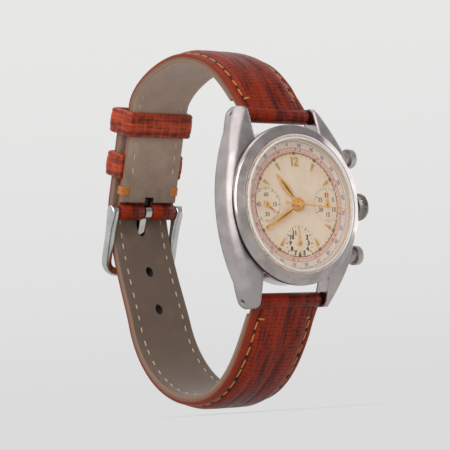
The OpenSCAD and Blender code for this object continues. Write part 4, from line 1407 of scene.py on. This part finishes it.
# Distance of each sub-dial from the middle of the dial
SUB_OFFSET = 8.35
REGISTERS = (
    Register((-SUB_OFFSET, 0), Ink.GREY, {0: "60", 90: "15", 180: "30", 270: "45"},
             size=0.95, number_radius=2.15, ticks=60, long_every=5),
    Register((SUB_OFFSET, 0), Ink.GREY, {0: "30", 60: "5", 120: "10", 180: "15", 240: "20", 300: "25"},
             size=0.95, number_radius=2.15, ticks=30, long_every=5),
    Register((0, -SUB_OFFSET), Ink.DARK, {30 * k: str(k) for k in range(2, 12)},
             size=1.0, number_radius=2.5, ticks=24, long_every=2, bold=0.07),
)


@dataclass
class DialPrint:
    """Scales, ticks and numbers printed on the dial, one mesh for each ink."""

    face: float = 7.25
    sub_face: float = 7.13
    sub_radius: float = 3.9
    forms: dict[Ink, Form] = field(default_factory=dict)

    LAYER, UNDER_LAYER, TICK_LAYER, DIGIT_LAYER = 0.012, 0.0084, 0.0144, 0.0036
    ARC_PARTS, DIGIT_SCALE, CLEARANCE = 180, 1.35, 0.05
    # Ink, inner and outer radius of the rings round the rim, and of the pale bands under them
    BANDS = ((Ink.BAND, 12.45, 14.48), (Ink.BLUSH, 11.52, 12.4))
    RINGS = ((Ink.BLUE_GREY, 13.86, 13.96), (Ink.BLUE_GREY, 12.47, 12.55),
             (Ink.RED, 12.28, 12.36), (Ink.RED, 11.74, 11.82))
    # Inner radius, outer radius and width of each kind of tick
    OUTER_TICK, RED_TICK, RED_BLOCK = (13.6, 13.9, 0.13), (11.76, 12.02, 0.12), (11.76, 12.32, 0.3)
    FIFTH_TICK, MINUTE_TICK, HOUR_TICK = (11.0, 11.32, 0.06), (10.8, 11.32, 0.14), (10.84, 11.56, 0.8)
    HOUR_INSIDE, TRACK, TRACK_MIDDLE, HOUR_MIDDLE = (11.0, 11.44, 0.45), (11.22, 11.44), 11.1, 11.15
    # Depth and width of a sub-dial's ticks, the margin outside them, and its fine rings' radius and width
    SHORT_TICK, LONG_TICK, TICK_MARGIN = (0.5, 0.08), (0.8, 0.14), 0.12
    FINE_RINGS, FINE_RING_WIDTH = (0.8, 1.35, 1.9), 0.06
    # Size, angle of the first, radius and boldness of the numbers on both outer scales
    OUTER_SIZE, OUTER_START, OUTER_RADIUS, OUTER_BOLD = 0.8, 7.5, 13.1, 0.07
    RED_SIZE, RED_START, RED_RADIUS, RED_BOLD = 0.66, 9, 12.05, 0.08

    def form(self, ink: Ink) -> Form:
        """Mesh that collects one ink."""
        return self.forms.setdefault(ink, Form())

    def clear_of_registers(self, x: float, y: float) -> bool:
        """True where a point is outside all three sub-dials."""
        away = (math.hypot(x - register.centre[0], y - register.centre[1]) for register in REGISTERS)
        return min(away) > self.sub_radius + self.CLEARANCE

    def arc(self, ink: Ink, inner: float, outer: float, height: float, centre: Flat = (0, 0),
            sunk: bool = False) -> None:
        """Prints a thin ring.

        Args:
            ink: Its colour.
            inner: Inner radius.
            outer: Outer radius.
            height: Height of the surface under it.
            centre: Middle of the ring.
            sunk: True lays the stretches over the sub-dials on their floors.
        """
        step = 360 / self.ARC_PARTS
        for k in range(self.ARC_PARTS):
            middle = on_dial((inner + outer) / 2, step * (k + 0.5))
            level = height if not sunk or self.clear_of_registers(*middle) else self.sub_face
            corners = [on_dial(inner, step * k), on_dial(outer, step * k),
                       on_dial(outer, step * (k + 1)), on_dial(inner, step * (k + 1))]
            self.form(ink).plate([(x + centre[0], y + centre[1]) for x, y in corners], level - self.LAYER,
                                 level + self.LAYER)

    def tick(self, ink: Ink, angle: float, inner: float, outer: float, width: float, height: float,
             centre: Flat = (0, 0)) -> None:
        """Prints one radial tick.

        Args:
            ink: Its colour.
            angle: Degrees clockwise from 12.
            inner: Inner radius.
            outer: Outer radius.
            width: Full width.
            height: Height of the surface under it.
            centre: Middle of its scale.
        """
        out, side = Vector(on_dial(1, angle)), Vector(on_dial(1, angle + 90))
        half, base = width / 2, Vector(centre)
        corners = [tuple(base + out * radius + side * off)
                   for radius, off in ((inner, -half), (outer, -half), (outer, half), (inner, half))]
        self.form(ink).plate(corners, height - self.LAYER, height + self.TICK_LAYER)

    def number(self, ink: Ink, words: str, size: float, angle: float, radius: float, height: float,
               centre: Flat = (0, 0), turned: bool = False, bold: float = 0.03) -> None:
        """Prints a number.

        Args:
            ink: Its colour.
            words: The digits.
            size: Height of the digits in millimetres.
            angle: Degrees clockwise from 12.
            radius: Distance from the middle of its scale.
            height: Height of the surface under it.
            centre: Middle of its scale.
            turned: True stands the number on the circle.
            bold: Share of the size that the strokes are swollen by.
        """
        curve = bpy.data.curves.new("digits", "FONT")
        curve.body, curve.size = words, size * self.DIGIT_SCALE
        curve.align_x, curve.align_y = "CENTER", "CENTER"
        curve.resolution_u, curve.extrude = 2, self.LAYER
        curve.offset = size * bold
        holder = bpy.data.objects.new("digits", curve)
        bpy.context.scene.collection.objects.link(holder)
        ready = holder.evaluated_get(bpy.context.evaluated_depsgraph_get())
        mesh = bpy.data.meshes.new_from_object(ready)
        x, y = on_dial(radius, angle)
        spin = Matrix.Rotation(math.radians(-angle if turned else 0), 4, "Z")
        shift = Matrix.Translation((x + centre[0], y + centre[1], height + self.DIGIT_LAYER))
        mesh.transform(Matrix.Scale(MM, 4) @ DIAL_UP @ shift @ spin)
        self.form(ink).work.from_mesh(mesh)
        bpy.data.objects.remove(holder)
        bpy.data.curves.remove(curve)
        bpy.data.meshes.remove(mesh)

    def outer_scales(self) -> None:
        """Prints the blue speed scale and the red scale inside it."""
        for ink, inner, outer in self.BANDS:
            self.arc(ink, inner, outer, self.face - self.UNDER_LAYER)
        for ink, inner, outer in self.RINGS:
            self.arc(ink, inner, outer, self.face)
        for k in range(60):
            self.tick(Ink.BLUE_GREY, 6 * k, *self.OUTER_TICK, self.face)
            self.tick(Ink.RED, 6 * k + 3, *(self.RED_TICK if k % 5 else self.RED_BLOCK), self.face)
        for k in range(24):
            speed = round(3600 / (15 * (k + 4)))
            self.number(Ink.BLUE_GREY, str(speed), self.OUTER_SIZE, 15 * k + self.OUTER_START,
                        self.OUTER_RADIUS, self.face, turned=True, bold=self.OUTER_BOLD)
        for k in range(12):
            self.number(Ink.RED, str(2 * k + 2), self.RED_SIZE, 30 * k + self.RED_START, self.RED_RADIUS,
                        self.face, turned=True, bold=self.RED_BOLD)

    def minute_track(self) -> None:
        """Prints the minute track with a square at every fifth minute."""
        self.arc(Ink.BROWN, *self.TRACK, self.face, sunk=True)
        for k in range(300):
            if self.clear_of_registers(*on_dial(self.TRACK_MIDDLE, 1.2 * k)):
                self.tick(Ink.BROWN, 1.2 * k, *(self.FIFTH_TICK if k % 5 else self.MINUTE_TICK), self.face)
        for k in range(12):
            if self.clear_of_registers(*on_dial(self.HOUR_MIDDLE, 30 * k)):
                self.tick(Ink.BROWN, 30 * k, *self.HOUR_TICK, self.face + self.LAYER / 2)
                self.tick(Ink.GREY, 30 * k, *self.HOUR_INSIDE, self.face + self.LAYER)

    def register(self, plan: Register) -> None:
        """Prints one sub-dial.

        Args:
            plan: What is printed there.
        """
        rim = self.sub_radius
        for k in range(plan.ticks):
            depth, width = self.SHORT_TICK if k % plan.long_every else self.LONG_TICK
            self.tick(plan.ink, 360 * k / plan.ticks, rim - depth, rim - self.TICK_MARGIN, width,
                      self.sub_face, plan.centre)
        for angle, words in plan.numbers.items():
            self.number(plan.ink, words, plan.size, angle, plan.number_radius, self.sub_face, plan.centre,
                        bold=plan.bold)
        for radius in self.FINE_RINGS:
            self.arc(Ink.BAND, radius, radius + self.FINE_RING_WIDTH, self.sub_face, plan.centre)

    def build(self, finish: Callable[[Ink], Material]) -> None:
        """Prints everything and hangs it on the case.

        Args:
            finish: Gives the material of an ink.
        """
        self.outer_scales()
        self.minute_track()
        for plan in REGISTERS:
            self.register(plan)
        for ink, form in self.forms.items():
            printed = form.finish(f"dial_print_{ink.name.lower()}", finish(ink), smooth=False)
            ride(printed, "case")


@dataclass
class Hand:
    """One hand: a roofed leaf, its hub and an optional inlay."""

    name: str
    body: str
    angle: float
    height: float
    centre: Flat
    outline: tuple[Flat, ...]
    hub: float
    bore: float
    inlay: tuple[Flat, ...] = ()

    THICK, HUB_SIDES, LIP = 0.14, 48, 0.3
    # Share of the half width and rise above a flat roof, where the roof is bent
    ROOF_BEND, ROOF_RISE = 0.35, 0.01
    # Shares of the thickness: underside, edge and ridge
    LEAF, INLAY = (0.0, 0.55, 1.0), (0.3, 1.05, 1.12)

    def place(self) -> Matrix:
        """Local hand frame, with Y along the hand, to the row frame in millimetres."""
        return (DIAL_UP @ Matrix.Translation((*self.centre, self.height))
                @ Matrix.Rotation(math.radians(-self.angle), 4, "Z"))

    def leaf(self, form: Form, outline: Sequence[Flat], levels: Sequence[float]) -> None:
        """Adds a roofed leaf.

        Args:
            form: Mesh that takes it.
            outline: Distance along and half width of each station.
            levels: Shares of the thickness at the underside, long edges and middle ridge.
        """
        place = self.place()
        low, edge, ridge = (self.THICK * level for level in levels)
        bend = (edge + ridge) / 2 + self.ROOF_RISE
        rows = []
        for along, half in outline:
            section = ((-half, low), (-half, edge), (-half * self.ROOF_BEND, bend), (0, ridge),
                       (half * self.ROOF_BEND, bend), (half, edge), (half, low))
            rows.append([place @ Vector((x, along, height)) for x, height in section])
        form.skin(rows, ring=True, caps=True)

    def collar(self, form: Form) -> None:
        """Adds the turned hub with a rounded rim."""
        place, lip = self.place(), (self.hub - self.bore) * self.LIP
        section = ((self.bore, 0.0), (self.hub, 0.0), (self.hub, self.THICK * 0.7),
                   (self.hub - lip, self.THICK + 0.03), (self.bore + lip, self.THICK + 0.05),
                   (self.bore, self.THICK))
        rows = []
        for radius, height in section:
            ring = hoop(Z_AXIS * height, X_AXIS, Y_AXIS, radius, radius, self.HUB_SIDES)
            rows.append([place @ point for point in ring])
        form.skin(rows, ring=True, loop=True)

    def build(self, metal: Material, inlay: Material) -> None:
        """Builds the hand in place of its node.

        Args:
            metal: Material of the leaf and hub.
            inlay: Material of the slot along the leaf.
        """
        form = Form()
        self.leaf(form, self.outline, self.LEAF)
        self.collar(form)
        ride(form.finish(f"{self.name}_leaf", metal, smooth=False), self.body, (self.name,))
        if self.inlay:
            slot = Form()
            self.leaf(slot, self.inlay, self.INLAY)
            ride(slot.finish(f"{self.name}_inlay", inlay, smooth=False), self.body)


COUNTER_LEAF = ((-0.6, 0.16), (0.0, 0.17), (1.3, 0.26), (2.2, 0.18), (3.1, 0.04))
HANDS = (
    Hand("hour_hand", "hour", 320, 7.65, (0, 0),
         ((0.6, 0.42), (1.5, 0.36), (2.1, 0.34), (4.2, 0.78), (5.4, 0.66), (7.2, 0.3), (8.6, 0.06)),
         hub=1.5, bore=1.36, inlay=((2.2, 0.08), (4.2, 0.24), (5.2, 0.22), (6.8, 0.06))),
    Hand("minute_hand", "minute", 240, 8.10, (0, 0),
         ((0.5, 0.36), (1.3, 0.32), (2.0, 0.3), (4.6, 0.64), (6.4, 0.56), (9.2, 0.26), (11.0, 0.05)),
         hub=1.1, bore=0.96, inlay=((1.9, 0.08), (4.4, 0.19), (5.8, 0.16), (7.8, 0.05))),
    Hand("sweep_hand", "chrono", 94, 8.60, (0, 0),
         ((-4.2, 0.3), (-3.7, 0.42), (-3.2, 0.22), (-2.6, 0.16), (0.0, 0.3), (3.0, 0.14), (10.0, 0.09),
          (13.6, 0.04)),
         hub=0.7, bore=0.31),
    Hand("seconds_hand", "fourth", 127, 7.30, (-SUB_OFFSET, 0),
         ((-1.1, 0.13), (0.0, 0.16), (1.2, 0.24), (2.2, 0.17), (3.1, 0.04)),
         hub=0.6, bore=0.26, inlay=((0.8, 0.03), (1.3, 0.09), (2.0, 0.03))),
    Hand("minute_counter_hand", "minute_counter", 0, 7.30, (SUB_OFFSET, 0), COUNTER_LEAF, hub=0.6, bore=0.26),
    Hand("hour_counter_hand", "hour_counter", 0, 7.30, (0, -SUB_OFFSET), COUNTER_LEAF, hub=0.6, bore=0.26),
)


@dataclass
class Studio:
    """Pale floor, soft lamps, surround and camera."""

    floor_height: float = -0.0447
    backdrop: Colour = rgb(231, 231, 230)
    horizon: Colour = rgb(223, 223, 223)
    near_floor: Colour = rgb(219, 219, 219)
    ambient: float = 0.5
    dim: float = 0.26
    camera_at: Place = (-0.2811, -0.3398, -0.0417)
    right: Place = (0.7883, -0.6118, -0.0652)
    up: Place = (-0.0026, -0.1093, 0.9940)
    back: Place = (-0.6153, -0.7834, -0.0877)
    lens: float = 159.05

    SENSOR, CLIP_START, CLIP_END = 36.0, 0.01, 20
    FLOOR_HALF, FLOOR_PARTS = 6.0, 8
    LAMPS_FACE = Vector((0, 0.02, 0))
    # Kinds of light rays that see the backdrop itself, not the light it gives
    SHOWN = ("Camera", "Glossy", "Transmission")

    def camera(self) -> None:
        """Places the camera of the photograph."""
        data = bpy.data.cameras.new("view")
        data.sensor_width, data.lens = self.SENSOR, self.lens
        data.clip_start, data.clip_end = self.CLIP_START, self.CLIP_END
        holder = bpy.data.objects.new("view", data)
        bpy.context.scene.collection.objects.link(holder)
        columns = Matrix((self.right, self.up, self.back)).transposed().to_4x4()
        holder.matrix_world = Matrix.Translation(self.camera_at) @ columns
        bpy.context.scene.camera = holder

    def lamp(self, name: str, place: Place, size: float, power: float) -> None:
        """Adds a square soft lamp that faces the watch.

        Args:
            name: Its name.
            place: Where it stands.
            size: Length of its side.
            power: Its power in watts.
        """
        data = bpy.data.lights.new(name, "AREA")
        data.size, data.energy = size, power
        holder = bpy.data.objects.new(name, data)
        bpy.context.scene.collection.objects.link(holder)
        holder.location = place
        holder.rotation_euler = (self.LAMPS_FACE - Vector(place)).to_track_quat("-Z", "Y").to_euler()

    def surround(self) -> None:
        """Sets the world: backdrop colour where it is seen or mirrored, dimmer light elsewhere."""
        graph = Graph("surround", bpy.data.worlds.new("surround"))
        bpy.context.scene.world = graph.holder
        side, depth, rise = graph.split(graph.node("ShaderNodeTexCoord").outputs["Generated"])
        wall = graph.blend(rise.span(0.0, 0.2), self.horizon, self.backdrop)
        wall = graph.blend(rise.span(0.0, 0.06), self.near_floor, wall)
        dim = graph.blend(rise.span(0.3, 0.7), grey(self.dim), grey(self.dim * 1.6))
        corner = side.span(-0.35, 0.45) * depth.span(0.45, 0.1) * rise.span(-0.1, 0.3)
        sky = graph.blend(corner * (1 - graph.rays("Camera")), wall, dim)
        shown = graph.node("ShaderNodeBackground", None, {"Color": sky})
        light = graph.node("ShaderNodeBackground", None, {"Color": grey(self.ambient)})
        graph.choose(graph.rays(*self.SHOWN), light, shown)

    def floor(self) -> None:
        """Lays a pale floor that keeps the shadow of the watch and fades into the backdrop."""
        graph = Graph("floor_paper")
        place = graph.place(1.0)
        x, y, _ = graph.split(place)
        grain = graph.noise(place, scale=900.0)
        paper = graph.surface(Base_Color=graph.blend(grain, grey(0.7), grey(0.74)), Roughness=0.9,
                              Specular_IOR_Level=0.0)
        glow = graph.node("ShaderNodeEmission", None, {"Color": self.near_floor})
        graph.choose(graph.rays(*self.SHOWN) * from_axis(x, y).span(0.02, 0.06, 0.8, 1.0), paper, glow)
        work = bmesh.new()
        bmesh.ops.create_grid(work, x_segments=self.FLOOR_PARTS, y_segments=self.FLOOR_PARTS,
                              size=self.FLOOR_HALF)
        mesh = bpy.data.meshes.new("floor")
        work.to_mesh(mesh)
        work.free()
        mesh.materials.append(graph.material)
        ground = bpy.data.objects.new("floor", mesh)
        ground.location.z = self.floor_height
        bpy.context.scene.collection.objects.link(ground)

    def build(self) -> None:
        """Sets up the whole studio."""
        bpy.context.scene.view_settings.view_transform = "Standard"
        self.camera()
        self.surround()
        self.floor()
        self.lamp("key", (-0.6, -0.35, 0.3), size=0.8, power=4.4)
        self.lamp("fill", (0.62, 0.1, 0.1), size=0.5, power=1.2)
        self.lamp("top", (-0.15, 0.1, 0.6), size=0.6, power=1.0)


@dataclass
class Watch:
    """The whole watch: its finishes and its sub-assemblies."""

    satin: Material = made_of(Steel("case_satin", rgb(192, 184, 183), 0.46, Grain.ALONG_STRAP, lines=0.2,
                                    soften=0.0011, polished_mm=9.56))
    polish: Material = made_of(Steel("polished_steel", rgb(205, 200, 196), 0.13))
    grained: Material = made_of(Steel("movement_grained", rgb(180, 178, 172), 0.3, Grain.ACROSS_DIAL,
                                      lines=0.2))
    blued: Material = made_of(Steel("blued_steel", rgb(52, 68, 128), 0.2))
    gilt: Material = made_of(Gilt())
    marker: Material = made_of(Gilt("marker_gilt", rgb(222, 178, 102)))
    brass: Material = made_of(Brass("movement_brass", rgb(196, 168, 104)))
    leather: Material = made_of(ScaleLeather("strap_leather"))
    keeper: Material = made_of(ScaleLeather("keeper_leather", light=rgb(182, 68, 31), dark=rgb(88, 25, 13),
                                            edge=rgb(190, 74, 34), side=rgb(190, 74, 34), row_mm=1.25,
                                            scale_mm=60.0, glaze=0.25))
    lining: Material = made_of(Lining())
    thread: Material = made_of(Plain("tan_thread", rgb(204, 124, 50), 0.7, mottle=0.25, cell=6.0))
    pale_thread: Material = made_of(Plain("pale_thread", rgb(190, 172, 150), 0.8, mottle=0.2, cell=6.0))
    # Near-black painted shade for the needle holes and the cut walls of the strap's holes and slot
    dark: Material = made_of(Plain("needle_holes", rgb(22, 10, 8), 0.8))
    clear: Material = made_of(Crystal())
    # Opaque pale ring painted as the highlight on the crystal's edge
    edge: Material = made_of(Plain("crystal_edge_highlight", rgb(228, 218, 208), 0.25))
    knurl: Material = made_of(Steel("crown_steel", rgb(150, 142, 138), 0.28))
    pushers: Material = made_of(Steel("pusher_steel", rgb(204, 195, 191), 0.5))
    buckle: Material = made_of(Steel("buckle_steel", rgb(206, 205, 204), 0.26))
    # Dark steel colour of the spring bars, a painted shade
    shaded: Material = made_of(Steel("spring_bar_shaded_steel", rgb(62, 56, 54), 0.5))
    rubber: Material = made_of(Plain("gasket_rubber", rgb(40, 40, 40), 0.6))
    lume: Material = made_of(Plain("aged_lume", rgb(124, 88, 50), 0.7))

    # Half the height of the cut for the tongue's slot, and the hole that the tongue goes through
    SLOT_REACH = 3.3
    TONGUE_ANGLE, PIN_AT, PIN_RADIUS, PIN_LENGTH = math.radians(-67.1), Vector((0, 7.0, 0.85)), 1.25, 9
    # The free holes: where the row starts on the third curve, their spacing there, lean and size
    FREE_FROM, FREE_STEP, FREE_LEAN, FREE_RADIUS, FREE_LENGTH = 0.75, 0.29, math.radians(23), 1.0, 12

    def dress_nodes(self) -> None:
        """Gives every carried-over solid its finish."""
        by_slot = {"case_steel": self.satin, "polished_steel": self.polish, "crystal_clear": self.clear,
                   "dial_cream": DialPaint().build(), "gilt": self.gilt, "movement_brass": self.brass,
                   "movement_steel": self.grained, "blued_steel": self.blued, "gasket_rubber": self.rubber,
                   "strap_leather": self.leather, "strap_lining": self.lining, "keeper_leather": self.keeper}
        by_node = {"bezel": Bezel().build(), "lug_spring_bars": self.shaded, "crown": self.knurl,
                   "hour_markers": self.marker, "pusher_start": self.pushers, "pusher_reset": self.pushers,
                   "pusher_tubes": self.satin, "crown_tube": self.satin, "cannon_pinion": self.gilt,
                   "chrono_runner": self.gilt, "hour_wheel": self.gilt}
        for part in frame["record"]["subparts"]:
            node = frame["nodes"][part["node"]]
            finish = by_node.get(part["node"], by_slot[part["material_slot"]])
            node.data.materials.clear()
            node.data.materials.append(finish)
            LOG.info("%s dressed in %s", part["node"], finish.name)

    def slot(self) -> Piece:
        """Cutter for the tongue's slot at the buckle end."""
        bar, reach = Vector((0, *BUCKLE_AT)), self.SLOT_REACH
        corners = ((-reach, -reach), (reach, -reach), (reach, reach), (-reach, reach))
        form = Form()
        form.skin([[bar + Vector((x, y, z)) for y, z in corners] for x in (-SLOT_HALF, SLOT_HALF)],
                  ring=True, caps=True)
        return form.finish("cutter", self.dark)

    def pin_hole(self) -> Piece:
        """Cutter for the hole that the tongue goes through."""
        bar, tongue = Vector((0, *BUCKLE_AT)), Matrix.Rotation(self.TONGUE_ANGLE, 3, "X")
        return rod(bar + tongue @ self.PIN_AT, tongue @ Y_AXIS, self.PIN_RADIUS, self.PIN_LENGTH, self.dark)

    def free_hole(self, count: int) -> Piece:
        """Cutter for one free hole further down the strap."""
        place = HOLE_PATH.point(2, self.FREE_FROM - self.FREE_STEP * count)
        axis = Vector((0, math.cos(self.FREE_LEAN), math.sin(self.FREE_LEAN)))
        return rod(Vector((0, *place)), axis, self.FREE_RADIUS, self.FREE_LENGTH, self.dark)

    def strap(self) -> None:
        """Builds both strap halves, the keepers and the buckle frame."""
        stuff = (self.leather, self.lining, self.thread, self.pale_thread, self.dark)
        StrapHalf("buckle_strap", BUCKLE_PATH, 2.2, 7.0, *stuff, end_roll=1.9).build((self.slot,))
        holes = (self.pin_hole, lambda: self.free_hole(1), lambda: self.free_hole(2))
        StrapHalf("hole_strap", HOLE_PATH, 0.0, 3.0, *stuff).build(holes)
        Keeper("fixed_keeper", "case", 8, self.keeper, sewn=True).build()
        Keeper("floating_keeper", "loose_keeper", 18.5, self.keeper).build()
        BuckleFrame().build(self.buckle)

    def face(self) -> None:
        """Builds the crystal, prints the dial and builds the hands."""
        CrystalDome().build(self.clear, self.edge)
        DialPrint().build(lambda ink: Plain(f"ink_{ink.name.lower()}", ink.value, 0.6, 0.12, 3.0).build())
        for hand in HANDS:
            hand.build(self.gilt, self.lume)

    def springs(self) -> None:
        """Builds the coils inside both pushers."""
        for side in ("start", "reset"):
            PusherSpring(f"pusher_spring_{side}", f"{side}_press", self.grained).build()

    def build(self) -> None:
        """Builds the watch in order."""
        self.dress_nodes()
        self.springs()
        self.strap()
        self.face()


def main() -> None:
    """Builds the studio and the watch."""
    logging.basicConfig(level=logging.INFO, format="%(name)s: %(message)s")
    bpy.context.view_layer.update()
    Studio().build()
    Watch().build()


if __name__ == "__main__":
    main()
